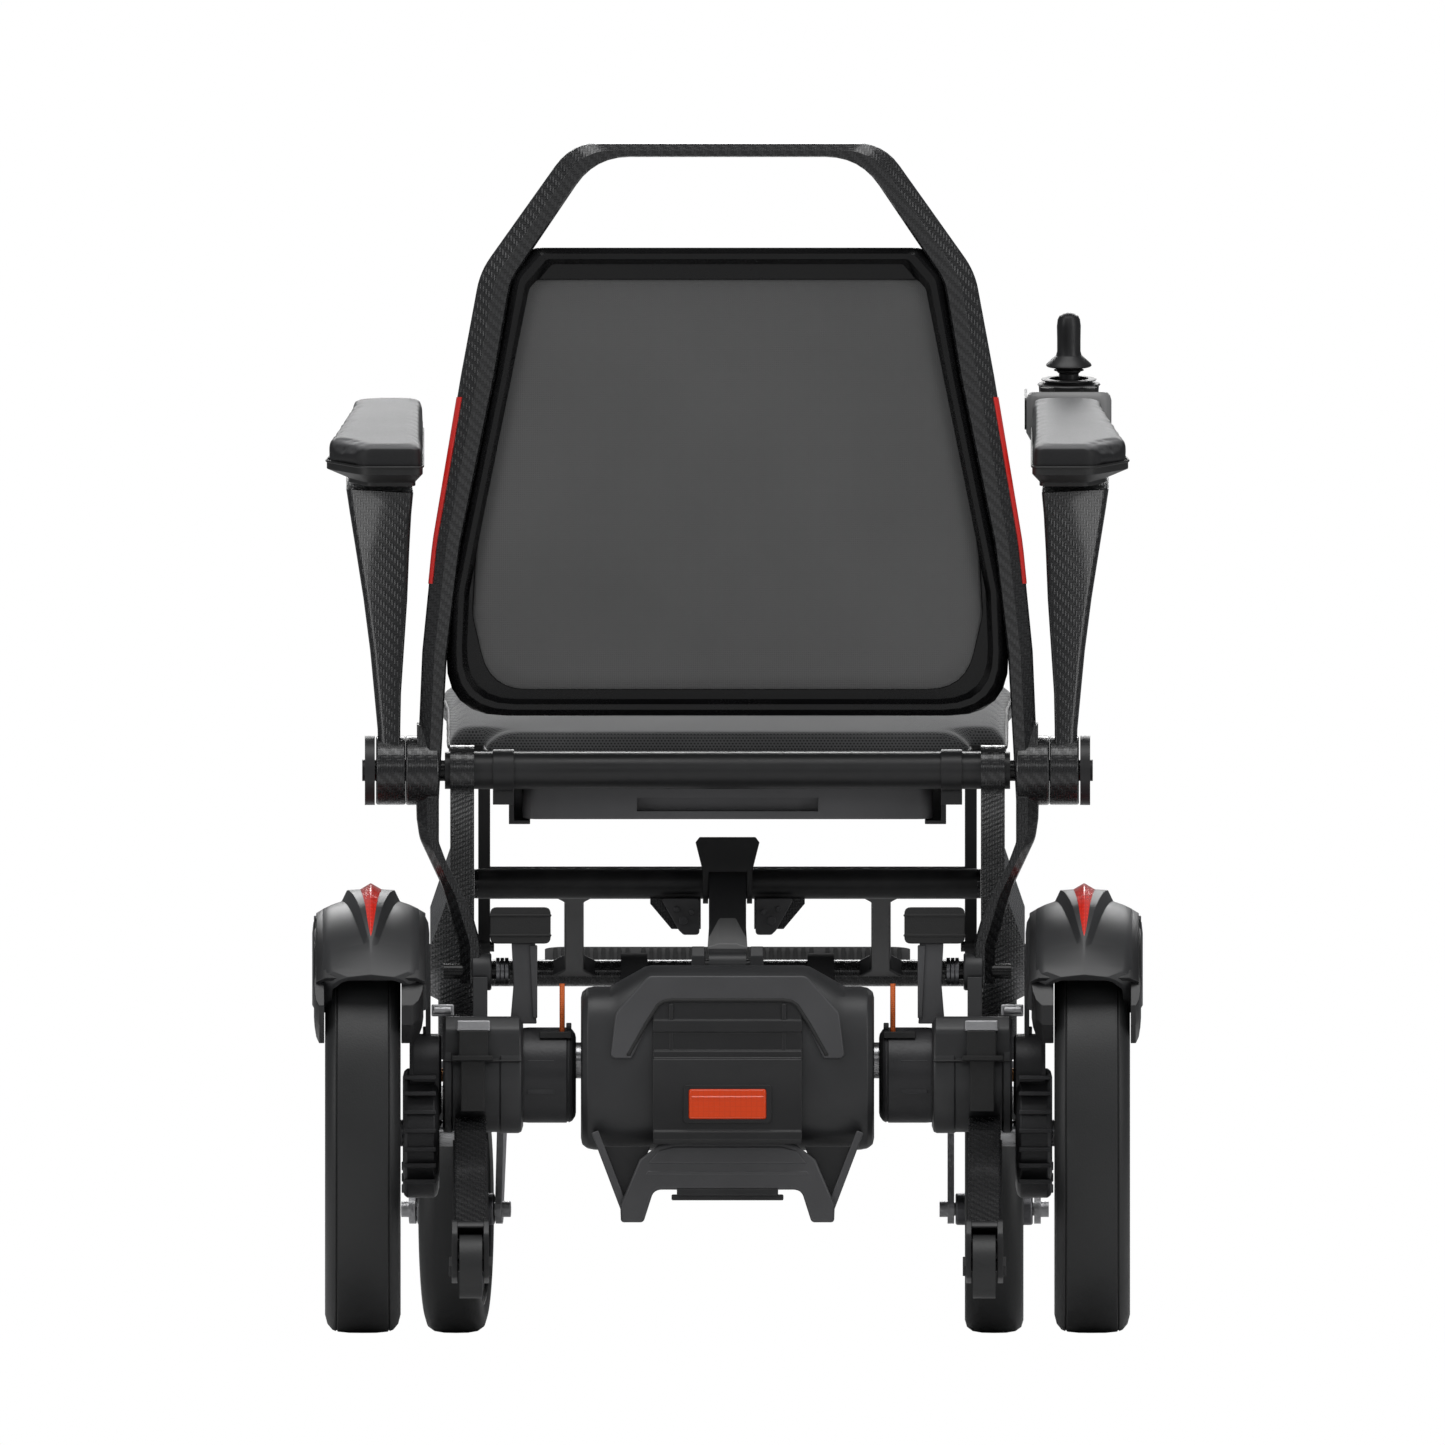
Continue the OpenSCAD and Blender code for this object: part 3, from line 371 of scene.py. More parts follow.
def arc_corner(p, c, q, radius, steps):
    """Points of one rounded corner at c, between p and q."""
    a, b = (p - c), (q - c)
    la, lb = a.length, b.length
    a, b = a / la, b / lb
    turn = math.acos(max(-1.0, min(1.0, a.dot(b))))
    if radius <= 0 or abs(math.pi - turn) < 1e-3:
        return [tuple(c)] * (steps + 1)
    cut = min(radius / math.tan(turn / 2), la * 0.49, lb * 0.49)
    start, end = c + a * cut, c + b * cut
    pts = []
    for i in range(steps + 1):
        t = i / steps
        pts.append(tuple(start * (1 - t) ** 2 + c * (2 * t * (1 - t)) + end * t ** 2))
    return pts


def rounded(a0, b0, a1, b1, radius, steps=4):
    """Outline of a rounded rectangle between two corners."""
    return fillet([(a0, b0, radius), (a1, b0, radius), (a1, b1, radius), (a0, b1, radius)], steps)


def rail(corners, steps=6):
    """Open run through (x, z, radius) corners, ends kept sharp."""
    out = []
    last = len(corners) - 1
    for k, (x, z, r) in enumerate(corners):
        if k in (0, last):
            out.append((x, z))
        else:
            out += arc_corner(*(Vector(corners[k + d][:2]) for d in (-1, 0, 1)), r, steps)
    return out


def mirrored(half, middle=()):
    """A run of points, the middle ones if any, and the run's mirror image backwards."""
    return [*half, *middle, *((-x, *rest) for x, *rest in reversed(half))]


def prism(outline, lo, hi, axis):
    """Outline pushed along an axis from lo to hi."""
    place = {"x": lambda p, t: (t, p[0], p[1]), "y": lambda p, t: (p[0], t, p[1]),
             "z": lambda p, t: (p[0], p[1], t)}[axis]
    n = len(outline)
    verts = [place(p, lo) for p in outline] + [place(p, hi) for p in outline]
    faces = [list(range(n))[::-1], list(range(n, 2 * n))]
    faces += [[i, (i + 1) % n, n + (i + 1) % n, n + i] for i in range(n)]
    return verts, faces


def block(lo, hi):
    """Box between two corners."""
    return prism([(lo[0], lo[1]), (hi[0], lo[1]), (hi[0], hi[1]), (lo[0], hi[1])], lo[2], hi[2], "z")


def loft(rings, caps=True, loop=False):
    """Skin through rings with the same number of points; loop joins the last ring to the first."""
    n = len(rings[0])
    verts = [tuple(p) for ring in rings for p in ring]
    faces = []
    count = len(rings)
    for r in range(count if loop else count - 1):
        a, b = r * n, ((r + 1) % count) * n
        faces += [[a + i, a + (i + 1) % n, b + (i + 1) % n, b + i] for i in range(n)]
    if caps and not loop:
        faces += [list(range(n))[::-1], list(range((count - 1) * n, count * n))]
    return verts, faces


def lathe(profile, y, z, steps=72, closed=False, x=0.0):
    """Turns (along X, radius) points about a line along X."""
    rings = []
    for a, r in profile:
        r = max(r, 0.02)
        turn = [math.tau * k / steps for k in range(steps)]
        rings.append([(x + a, y + r * math.cos(t), z + r * math.sin(t)) for t in turn])
    return loft(rings, loop=closed)


def turned(profile, steps=48, closed=False):
    """Turns (height, radius) points about Z."""
    rings = []
    for h, r in profile:
        r = max(r, 0.02)
        turn = [math.tau * k / steps for k in range(steps)]
        rings.append([(r * math.cos(a), r * math.sin(a), h) for a in turn])
    return loft(rings, loop=closed)


def rod(x0, x1, r, y, z, steps=40):
    """Round bar along X."""
    return lathe([(x0, r), (x1, r)], y, z, steps)


def sweep(path, radius, steps=12):
    """Round tube along a path."""
    path = [Vector(p) for p in path]
    side = None
    rings = []
    for i, p in enumerate(path):
        d = (path[min(i + 1, len(path) - 1)] - path[max(i - 1, 0)]).normalized()
        if side is None:
            side = d.orthogonal().normalized()
        side = (side - d * side.dot(d)).normalized()
        up = d.cross(side)
        turn = [math.tau * k / steps for k in range(steps)]
        rings.append([p + (side * math.cos(a) + up * math.sin(a)) * radius for a in turn])
    return loft(rings)


def moved(shape, matrix):
    """The shape placed by a matrix."""
    return [tuple(matrix @ Vector(v)) for v in shape[0]], shape[1]


def flip(shape):
    """The same shape on the other side of the chair."""
    return [(-x, y, z) for x, y, z in shape[0]], shape[1]


def join(*shapes):
    """Several closed shapes as one."""
    verts, faces = [], []
    for v, f in shapes:
        base = len(verts)
        verts += v
        faces += [[i + base for i in face] for face in f]
    return verts, faces


def both(shape):
    """A right-hand shape together with its mirror image."""
    return join(shape, flip(shape))


def link(name, data):
    """New object in the scene."""
    obj = bpy.data.objects.new(name, data)
    scene.collection.objects.link(obj)
    return obj


def solid(name, shape):
    """Object of a shape, its double points merged and its faces turned outwards."""
    me = bpy.data.meshes.new(name)
    me.from_pydata([Vector(v) * MM for v in shape[0]], [], shape[1])
    bm = bmesh.new()
    bm.from_mesh(me)
    bmesh.ops.remove_doubles(bm, verts=bm.verts, dist=2e-6)
    bmesh.ops.dissolve_degenerate(bm, edges=bm.edges, dist=2e-6)
    bmesh.ops.recalc_face_normals(bm, faces=bm.faces)
    bm.to_mesh(me)
    bm.free()
    return link(name, me)


def mount(obj, body, swap):
    """Makes an object ride on a body and stand in for the nodes in swap."""
    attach(obj, body)
    if swap:
        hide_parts(*swap)
    return obj


def piece(name, shape, body, finish, swap=(), bevel=0.8, steps=2, angle=30, slot=None):
    """One shown object riding on a body, edges softened by a hardened bevel."""
    obj = solid(name, shape)
    soften(obj, bevel, steps, angle)
    obj.data.materials.append(MAT[finish])
    return mount(obj, body, swap)


def pair(stem, shape, body, finish, swap=(), **more):
    """A right-hand piece and its mirror image on the left; {} in a body or node stands for the side."""
    for word, sided in (("right", shape), ("left", flip(shape))):
        piece(f"{stem}_{word}", sided, body.format(word), finish, [node.format(word) for node in swap],
              **more)


def soften(obj, bevel, steps=2, angle=30):
    """Smooth shading with sharp edges kept, and a small bevel on them."""
    me = obj.data
    me.shade_smooth()
    me.set_sharp_from_angle(angle=math.radians(angle))
    if bevel:
        m = obj.modifiers.new("edge", "BEVEL")
        m.width = bevel * MM
        m.segments = steps
        m.limit_method = "ANGLE"
        m.angle_limit = math.radians(angle)
        m.harden_normals = True
        m.use_clamp_overlap = True


def dress(node, finish, bevel=0.5, steps=2):
    """Finish for a part whose carried-over solid is shown."""
    obj = frame["nodes"][node]
    me = obj.data
    if "custom_normal" in me.attributes:
        me.attributes.remove(me.attributes["custom_normal"])
    me.materials.clear()
    me.materials.append(MAT[finish])
    weld = obj.modifiers.new("weld", "WELD")
    weld.merge_threshold = 1e-5
    soften(obj, bevel, steps, 34)


def baked(obj):
    """Mesh of an object as its modifiers leave it; they are removed."""
    graph = bpy.context.evaluated_depsgraph_get()
    me = bpy.data.meshes.new_from_object(obj.evaluated_get(graph))
    obj.modifiers.clear()
    return me


def puff(shape, voxel, pressure, cap, wall):
    """Filled soft form: remeshed, inflated as cloth, movement capped, flat on the wall side."""
    obj = solid("soft", shape)
    m = obj.modifiers.new("re", "REMESH")
    m.mode = "VOXEL"
    m.voxel_size = voxel * MM
    obj.data = rest = baked(obj)
    c = obj.modifiers.new("fill", "CLOTH")
    c.settings.use_pressure = True
    c.settings.uniform_pressure_force = pressure
    c.settings.effector_weights.gravity = 0.0
    c.settings.quality = 5
    c.settings.tension_stiffness = 25
    c.settings.compression_stiffness = 25
    c.point_cache.frame_start = 1
    c.point_cache.frame_end = 20
    for k in range(1, 21):
        scene.frame_set(k)
    full = baked(obj)
    for a, b in zip(rest.vertices, full.vertices):
        step = b.co - a.co
        into = step.dot(wall)
        if into > 0:
            step -= wall * into
        if step.length > cap * MM:
            step *= cap * MM / step.length
        b.co = a.co + step
    obj.data = full
    scene.frame_set(1)
    return obj


def soft_piece(name, shape, body, finish, swap, voxel, pressure, cap, wall, rub=2):
    """Shown cushion made by puff, with its surface eased rub times."""
    obj = puff(shape, voxel, pressure, cap, wall)
    obj.name = name
    obj.data.name = name
    bm = bmesh.new()
    bm.from_mesh(obj.data)
    for _ in range(rub):
        bmesh.ops.smooth_vert(bm, verts=bm.verts, factor=0.5, use_axis_x=True, use_axis_y=True,
                              use_axis_z=True)
    bm.to_mesh(obj.data)
    bm.free()
    s = obj.modifiers.new("round", "SUBSURF")
    s.levels = s.render_levels = 1
    obj.data.shade_smooth()
    obj.data.materials.clear()
    obj.data.materials.append(MAT[finish])
    return mount(obj, body, swap)


# ---------- back ----------

def back(x, z, t):
    """Point on the back: level z, t behind its middle plane, bending at the hub."""
    if z >= HUB.z:
        return Vector((x, HUB.y - (z - HUB.z) * TAN_BACK - t / math.cos(RECLINE), z))
    return Vector((x, HUB.y - (HUB.z - z) * TAN_LOW - t, z))


def back_tube():
    """Faceted tube loop of the back with its thin push bar."""
    outer = rail([(201, 262, 0), (201, 290, 30), (215, 337, 60), (231, 371, 30), (233.2, 386, 5),
                  (233.6, 402, 15), (229, 511, 40), (221, 592, 60), (200, 718, 60), (185.6, 796, 60),
                  (117, 892.5, 40), (0, 892.5, 0)])
    inner = rail([(185, 262, 0), (185, 292, 30), (192.4, 318, 40), (210.4, 352, 30), (216.4, 368, 10),
                  (216.4, 400, 15), (210.4, 508, 40), (200, 592, 60), (174, 718, 60), (162, 789, 40),
                  (99.2, 882, 48), (0, 882, 0)])
    section = [(0.0, 0.8), (0.07, 1.0), (0.5, 1.0), (0.94, 0.34), (1.0, 0.1), (1.0, -0.7), (0.9, -1.0),
               (0.08, -1.0), (0.0, -0.8)]
    half = []
    for (xo, zo), (xi, zi) in zip(outer, inner):
        ring = []
        for s, t in section:
            ring.append(back(xi + (xo - xi) * s, zi + (zo - zi) * s, 12 * t))
        half.append(ring)
    other = [[Vector((-p.x, p.y, p.z)) for p in ring] for ring in reversed(half[:-1])]
    return loft(half + other)


piece("back_loop", back_tube(), "back_frame", "carbon", ("back_frame",), bevel=1.2, steps=3, angle=18)


def stripe():
    """Plain accent strip wrapped round the outer rear corner of the right back tube."""
    rings = []
    for k in range(13):
        z = 562 + 140 * k / 12
        xo = 221 - 21 * (z - 592) / 126 if z > 592 else 221 + 8 * (592 - z) / 81
        xi = 200 - 26 * (z - 592) / 126 if z > 592 else 200 + 10.4 * (592 - z) / 84
        face = [(0.86, 0.47), (0.94, 0.35), (1.0, 0.1), (1.0, -0.62)]
        top = [back(xi + (xo - xi) * a + 0.6, z, 12 * t + 0.5) for a, t in face]
        rings.append(top + [back(xi + (xo - xi) * a - 1.2, z, 12 * t - 1.0) for a, t in reversed(face)])
    return loft(rings)


piece("accent_stripes", both(stripe()), "back_frame", "stripe", bevel=0.2, slot="reflector")

lug = lathe([(216.5, 25), (217.5, 26), (240, 26), (241.5, 25)], HUB.y, HUB.z, 64)
web = prism([(HUB.y - 24, HUB.z - 6), (HUB.y - 16, HUB.z + 34), (HUB.y + 2, HUB.z + 36),
             (HUB.y + 20, HUB.z - 4)], 218, 233, "x")
pair("back_lug", join(lug, web), "back_frame", "carbon", bevel=1.0, steps=3)

BACK_MIDDLE = 640
RIM = [(209.5, 463, 90), (206, 556, 30), (199, 592, 40), (173.5, 718, 40), (160.5, 795, 20), (144, 814, 14)]
PANEL = [(178, 483, 46), (191, 538, 30), (188, 592, 30), (166.5, 718, 40), (157.5, 780, 14), (154, 790, 8)]


def inset(corners, d):
    """Corner list pulled towards its middle by d."""
    out = []
    for x, z, r in corners:
        rise = d if z < BACK_MIDDLE - 100 else -d if z > BACK_MIDDLE + 120 else 0
        out.append((x - d, z + rise, max(r - d, 2)))
    return out


def shell_ring(corners, t, steps=6):
    """Closed ring on the back, t behind its middle plane."""
    return [back(x, z, t) for x, z in fillet(mirrored(corners), steps)]


flange = [(x + 3, z, r) for x, z, r in RIM]
rim_rings = [shell_ring(flange, -8), shell_ring(flange, 5), shell_ring(RIM, 8.5),
             shell_ring(inset(RIM, 4.5), 14.5), shell_ring(inset(RIM, 8.5), 14.5),
             shell_ring(inset(RIM, 12.5), 5), shell_ring(inset(PANEL, -0.4), 4.4),
             shell_ring(inset(PANEL, 6), -2)]
piece("back_shell_rim", loft(rim_rings), "back_frame", "gloss_black", ("back_shell",), bevel=1.3, steps=3,
      angle=20)

panel_rings = [shell_ring(PANEL, 2.0), shell_ring(PANEL, 5.2), shell_ring(inset(PANEL, 1.6), 6.6)]
for k in range(1, 9):
    shrink = 1 - 0.06 * k
    bulge = 1.2 * (1 - (1 - k / 8) ** 2)
    panel_rings.append([back(x * shrink, BACK_MIDDLE + (z - BACK_MIDDLE) * shrink, 6.6 + bulge)
                        for x, z in fillet(mirrored(inset(PANEL, 1.6)), 6)])
piece("back_panel_cover", loft(panel_rings), "back_frame", "panel", ("back_panel",), bevel=0, angle=75)

BACK_CUSHION = [(170, 506, 40), (180, 545, 30), (172, 620, 30), (145, 776, 26)]
cushion_rings = [shell_ring(inset(BACK_CUSHION, d), -t, 5) for d, t in ((3, 9), (0, 13), (0, 21), (4, 25))]
soft_piece("back_cushion_soft", loft(cushion_rings), "back_frame", "seat_fabric", ("back_cushion",), 5.0,
           4.0, 22, Vector((0, -math.cos(RECLINE), -math.sin(RECLINE))))

# ---------- seat ----------

seat_outline = fillet(mirrored([(184, 20, 10), (187, 58, 5), (217, 64, 5), (218, 434, 30)]), 5)
seat_shape = loft([[(x, y, -9) for x, y in seat_outline], [(x, y, 12) for x, y in seat_outline],
                   [(x * 0.985, 4 + y * 0.985, 17) for x, y in seat_outline]])
seat_cushion = soft_piece("seat_cushion_soft", moved(seat_shape, SEAT), "seat", "seat_fabric",
                          ("seat_cushion",), 5.0, 3.0, 8,
                          Vector((0, math.sin(SEAT_TILT), -math.cos(SEAT_TILT))))


def follow(outline, height, place, cloth, spacing):
    """Closed path laid on a soft piece's surface, close to an outline at one height."""
    surface = BVHTree.FromPolygons([v.co for v in cloth.data.vertices],
                                   [f.vertices for f in cloth.data.polygons])
    path = []
    for (xa, ya), (xb, yb) in zip(outline, outline[1:] + outline[:1]):
        count = max(1, round(math.hypot(xb - xa, yb - ya) / spacing))
        for k in range(count):
            point = place @ Vector((xa + (xb - xa) * k / count, ya + (yb - ya) * k / count, height))
            path.append(surface.find_nearest(point * MM)[0] / MM)
    eased = [(path[k - 1] + path[k] * 2 + path[(k + 1) % len(path)]) / 4 for k in range(len(path))]
    return eased + eased[:1]


piping = sweep(follow(seat_outline, 11.5, SEAT, seat_cushion, 10), 1.8, 10)
piece("seat_piping", piping, "seat", "trim", bevel=0, slot="seat_fabric")

# ---------- armrests ----------

def support():
    """Right armrest upright: hub barrel and a neck that widens and leans forwards to the pad."""
    hub = Matrix.Translation((0, HUB.y, HUB.z))
    rings = []
    stations = [(12, 245, 262, 19), (31, 245, 262.5, 19), (58, 244.5, 265, 21), (90, 242.5, 268, 27),
                (130, 240, 273, 40), (170, 238.5, 279, 56), (200, 237, 283.5, 72), (219, 235.5, 286, 88)]
    top = ARM @ Vector((0, 0, -8))
    for h, x0, x1, w in stations:
        k = max(0.0, (h - 31) / 188)
        cy = HUB.y + (top.y - HUB.y) * k * k
        ring = fillet([(x0, cy - w, 3), (x0 + 3, cy + w, 3), (x1, cy + w * 0.9, 5),
                       (x1, cy - w * 0.75, 7)], 4)
        tilt = math.tan(ARM_TILT) * k
        rings.append([(x, y, HUB.z + h + (y - cy) * tilt) for x, y in ring])
    neck = loft(rings)
    barrel = lathe([(241.6, 25), (242.4, 25.8), (262.6, 25.8), (263.6, 24.8)], HUB.y, HUB.z, 72)
    return join(neck, barrel)


PAD_MIDDLE = 255
PAD_HALF = 123
PAD_RISE = 7.5


def pad():
    """Right armrest cushion before it is filled, thicker at its front end."""
    outline = fillet([(229, -123, 9), (273, -123, 16), (300, -84, 14), (279, 123, 16), (229, 123, 9)], 5)
    rings = [[(x, y, h) for x, y in outline] for h in (-1.5, 7)]
    for d, h in ((0, 16.4), (0.9, 18.4), (2.6, 19.4)):
        rings.append([(x + (PAD_MIDDLE - x) * d / 30, y * (1 - d / 125),
                       h + PAD_RISE * (y + PAD_HALF) / (2 * PAD_HALF)) for x, y in outline])
    return moved(loft(rings), ARM)


def pad_trim(side, front):
    """Moulded base and seam bead of an armrest cushion; the right one also carries the joystick bracket."""
    outline = fillet([(228.5, -124, 9), (273.5, -124, 16), (301, -84, 14), (279.5, 124, 16),
                      (228.5, 124, 9)], 5)
    ring = [(x, y, 4.2) for x, y in outline] + [(outline[0][0], outline[0][1], 4.2)]
    foot = fillet([(234, -108, 6), (270, -108, 8), (284, -80, 12), (278, front, 8), (234, front, 6)], 5)
    base = loft([[(x, y, -12) for x, y in foot], [(x, y, -9) for x, y in foot],
                 [(x, y, -1.6) for x, y in outline], [(x, y, 3.8) for x, y in outline]])
    parts = [sweep(ring, 1.1, 8), base]
    if side > 0:
        parts.append(prism(rounded(242, 96, 270, 152, 4), -14, -8, "z"))
    shape = moved(join(*parts), ARM)
    return shape if side > 0 else flip(shape)


pair("arm_upright", support(), "arm_{}", "carbon", ("arm_support_{}",), bevel=0.9, steps=2, angle=28)
for side, word, front in ((1, "right", 131), (-1, "left", 120)):
    soft_piece("arm_cushion_" + word, pad() if side > 0 else flip(pad()), "arm_" + word, "pad",
               ("arm_pad_" + word,), 3.0, 4.0, 1.6, Vector((0, math.sin(ARM_TILT), -math.cos(ARM_TILT))),
               rub=0)
    piece("arm_pad_base_" + word, pad_trim(side, front), "arm_" + word, "trim", bevel=0.4,
          slot="black_plastic")

ACROSS = Matrix.Rotation(math.pi / 2, 4, "Z")
box_outline = fillet([(-32, -46, 10), (32, -46, 10), (32, 34, 12), (-32, 34, 12)], 6)


def level(y):
    """Fall of the case's top face, which lies level although the armrest rises forwards."""
    return (y + 46) * math.tan(ARM_TILT)


def mouth(radius, h):
    """Circle of the case's opening, point for point beside the case's outline."""
    return [(x * radius / math.hypot(x, y), y * radius / math.hypot(x, y), h) for x, y in box_outline]


stick_box = loft([[(x * 0.9, y * 0.94, -30) for x, y in box_outline], [(x, y, -24) for x, y in box_outline],
                  [(x, y, 1.5 - level(y)) for x, y in box_outline],
                  [(x * 0.97, y * 0.975, 5 - level(y)) for x, y in box_outline],
                  [(x * 0.9, y * 0.92, 7.4 - level(y)) for x, y in box_outline],
                  [(x, y, z - level(y)) for x, y, z in mouth(18.5, 7.4)],
                  [(x, y, z - level(y)) for x, y, z in mouth(18.5, 5)], mouth(19.6, -4), mouth(19.6, -21)])
socket_ring = moved(rod(0, 2.2, 11, 0, 0, 36), Matrix.Translation((0, 33, -10)) @ ACROSS)
piece("joystick_case", moved(stick_box, BOX), "arm_right", "light_grey", ("joystick_box",), bevel=0.8,
      steps=3, slot="grey_plastic")
side_strip = prism(rounded(-38, -22, 24, 2, 3), -33.2, -31.4, "x")
collar = turned([(-3, 18.2), (-3, 22), (7, 22.6), (7.8, 23.8), (9, 22.6), (9.4, 17.5), (10.6, 17),
                 (11.3, 20.6), (12, 20.8), (12.4, 19.6), (12.5, 14.6), (9.5, 14.6), (9, 17.6)], 56,
                 closed=True)
piece("joystick_trim", moved(join(side_strip, collar, socket_ring), BOX), "arm_right", "black_plastic",
      bevel=0.3)
boot = [(7, 7.4), (16.2, 7.4), (17.4, 8.8), (18.2, 9), (18.5, 11.3), (19.1, 11.3), (19.4, 9.6), (20.2, 10.4),
        (21, 13.8), (21.4, 16.2), (22.3, 17.2), (23.6, 16.6), (27, 13), (30, 9.6),
        (33, 8.8), (41, 8.8), (52, 9), (57, 8.4), (59.8, 7), (61.2, 4.6), (62, 1.8), (62.1, 0)]
shaft = turned([(-10, 3.8), (9, 3.8)], 24)
cross_pin = moved(rod(-14.4, 14.4, 2.4, 0, 0, 24), ACROSS)
piece("joystick_lever", moved(join(turned(boot), shaft, cross_pin), BOX), "joystick_stick", "black_plastic",
      ("joystick_stick",), bevel=0.25)

# ---------- drive wheels and fenders ----------

WHEEL_X = 273.5
FENDER_X = 267.5
TYRE = mirrored([(-27.6, 112), (-28.4, 118), (-28.4, 136), (-26.6, 143), (-23, 147.4), (-20.4, 148.6),
                 (-19.6, 147.7), (-18.8, 149), (-10, 149.9)], [(0, 150)])


def wheel_rim():
    """Alloy rim: barrel, dished five-pair spokes, hub with cap and bolts, right-hand wheel."""
    barrel = [(-25, 99.5), (-27.8, 104), (-28.2, 112.6), (28.2, 112.6), (27.8, 104), (25, 99.5), (18, 98),
              (-18, 98)]
    hub = [(-25.5, 20), (-24, 27), (-20, 29), (14, 29), (19, 26), (21, 22), (25.4, 21), (26.6, 18),
           (26.8, 0.1)]
    parts = [lathe(barrel, AXLE.y, AXLE.z, 112, closed=True, x=WHEEL_X),
             lathe(hub, AXLE.y, AXLE.z, 72, x=WHEEL_X)]
    arm = [(20, -7), (64, -2.6), (101, 5), (101, 13), (66, 4.2), (20, 1.5)]
    for k in range(5):
        for hand in (1, -1):
            outline = [(r, w * hand) for r, w in arm]
            bar = loft([[(7 + 0.06 * r, r, w) for r, w in outline],
                        [(15 + 0.05 * r, r, w * 0.9) for r, w in outline]])
            turn = Matrix.Rotation(k * math.tau / 5 + 0.3, 4, "X")
            parts.append(moved(bar, Matrix.Translation((WHEEL_X, AXLE.y, AXLE.z)) @ turn))
        a = k * math.tau / 5 + 0.6
        parts.append(rod(WHEEL_X + 14, WHEEL_X + 20.4, 3.4, AXLE.y + 24.6 * math.cos(a),
                         AXLE.z + 24.6 * math.sin(a), 6))
    return join(*parts)


def arc_ring(x, points, angle, y=0.0, z=None):
    """Radial section of a fender, angle round from the top."""
    z = AXLE.z if z is None else z
    s, c = math.sin(angle), math.cos(angle)
    return [(x + a, y - r * s, z + r * c) for a, r in points]


def crown_at(a, reach=40):
    """Half width and rise of the fender's middle ridge at angle a from the top."""
    fade = max(0.0, 1 - abs(a) / math.radians(reach))
    return 20 * fade ** 0.8 + 0.4, 9.5 * min(1.0, fade * 2.2)


def fender(side):
    """Fender shell: a crowned arc over the tyre with a raised middle ridge."""
    rings = []
    end = math.radians(47)
    count = 48
    for k in range(count + 1):
        a = -end + 2 * end * k / count
        run = (end - abs(a)) * 172
        pull = 12 - math.sqrt(max(0.0, 144 - (12 - run) ** 2)) if run < 12 else 0.0
        wide = 44 - pull
        w, h = crown_at(a)
        crown = [(-wide, 131), (-wide, 150)]
        crown += [(-wide + 20 * (1 - math.cos(b)), 152 + 20 * math.sin(b)) for b in (0.3, 0.6, 0.95, 1.3)]
        crown += [(-w - 1.5, 173.8), (-w + 2.5 * min(1, w / 4), 174 + h * 0.86), (0, 174 + h)]
        outer = crown + [(-p, r) for p, r in reversed(crown[:-1])]
        inner = [(p * (wide - 3) / wide, min(r, 171) - (3 if r > 160 else 0)) for p, r in reversed(outer)]
        rings.append(arc_ring(side * FENDER_X, outer + inner, a))
    return loft(rings)


def cheek_outline(end, lift):
    """Half-ring seen from the side, reaching end radians from the top, its lower corners rounded."""
    arc = [end * (2 * k / 30 - 1) for k in range(31)]

    def at(a, r, edge):
        run = (end - abs(a)) * 150
        r += edge * (10 - math.sqrt(max(0.0, 100 - (10 - run) ** 2))) if run < 10 else 0
        return -r * math.sin(a), AXLE.z + r * math.cos(a)

    return [at(a, 163, -1) for a in arc] + [at(a, 117 + lift, 1) for a in reversed(arc)]


def cheek(inner, outer):
    """Side plate beside the tyre, its lower ends curving in towards the outer face."""
    steps = [(0, 58, 0), (0.5, 58, 0), (0.78, 56, 2), (0.93, 53, 5), (1, 50, 9)]
    return loft([[(inner + (outer - inner) * t, y, z) for y, z in cheek_outline(math.radians(end), lift)]
                 for t, end, lift in steps])


def skirt():
    """Two side cheeks reaching down beside the right tyre, and the lip under the shell."""
    section = mirrored([(-41, 161), (-41, 165), (-34, 169)]) + [(33, 165.5), (-33, 165.5)]
    lip = [arc_ring(FENDER_X, section, math.radians(46.5 * k / 12)) for k in range(-12, 13)]
    return join(cheek(244.6, 228), cheek(302.4, 310.2), loft(lip))


def reflector(side):
    """Two pointed reflectors on the fender's ridge."""
    rings = []
    for sign in (1, -1):
        strip = []
        for k in range(13):
            t = k / 12
            a = sign * math.radians(4 + 30 * t)
            w = 8 * (1 - t) ** 0.8 + 0.3
            base = 173.6 + crown_at(a)[1]
            rise = 4.6 * (1 - t) ** 0.5 + 0.3
            section = [(-w, base), (0, base + rise), (w, base), (0, base - 4)]
            strip.append(arc_ring(side * FENDER_X, section, a))
        rings.append(loft(strip))
    return join(*rings)


for side, word in ((1, "right"), (-1, "left")):
    piece("drive_tyre_" + word, lathe(TYRE, AXLE.y, AXLE.z, 128, closed=True, x=side * WHEEL_X),
          "wheel_" + word, "tyre", ("tyre_" + word,), bevel=0.3, angle=40)
    piece("fender_shell_" + word, fender(side), REAR, "grey_plastic", ("fender_" + word,), bevel=0.5,
          steps=2, angle=28)

stay = join(block((222.6, -9, 214), (226.4, 9, 292)), rod(226, 228.5, 4, 0, 226), rod(226, 228.5, 4, 0, 278))
pair("drive_rim", wheel_rim(), "wheel_{}", "alloy", ("rim_{}",), bevel=0.8, steps=2)
pair("fender_skirt", skirt(), REAR, "black_plastic", bevel=0.6)
pair("fender_stay", stay, REAR, "cast_grey", bevel=0.7)
piece("fender_reflectors", join(reflector(1), reflector(-1)), REAR, "reflector", ("reflectors",), bevel=0.3)

# ---------- central unit ----------

UNIT_Z = 204.5


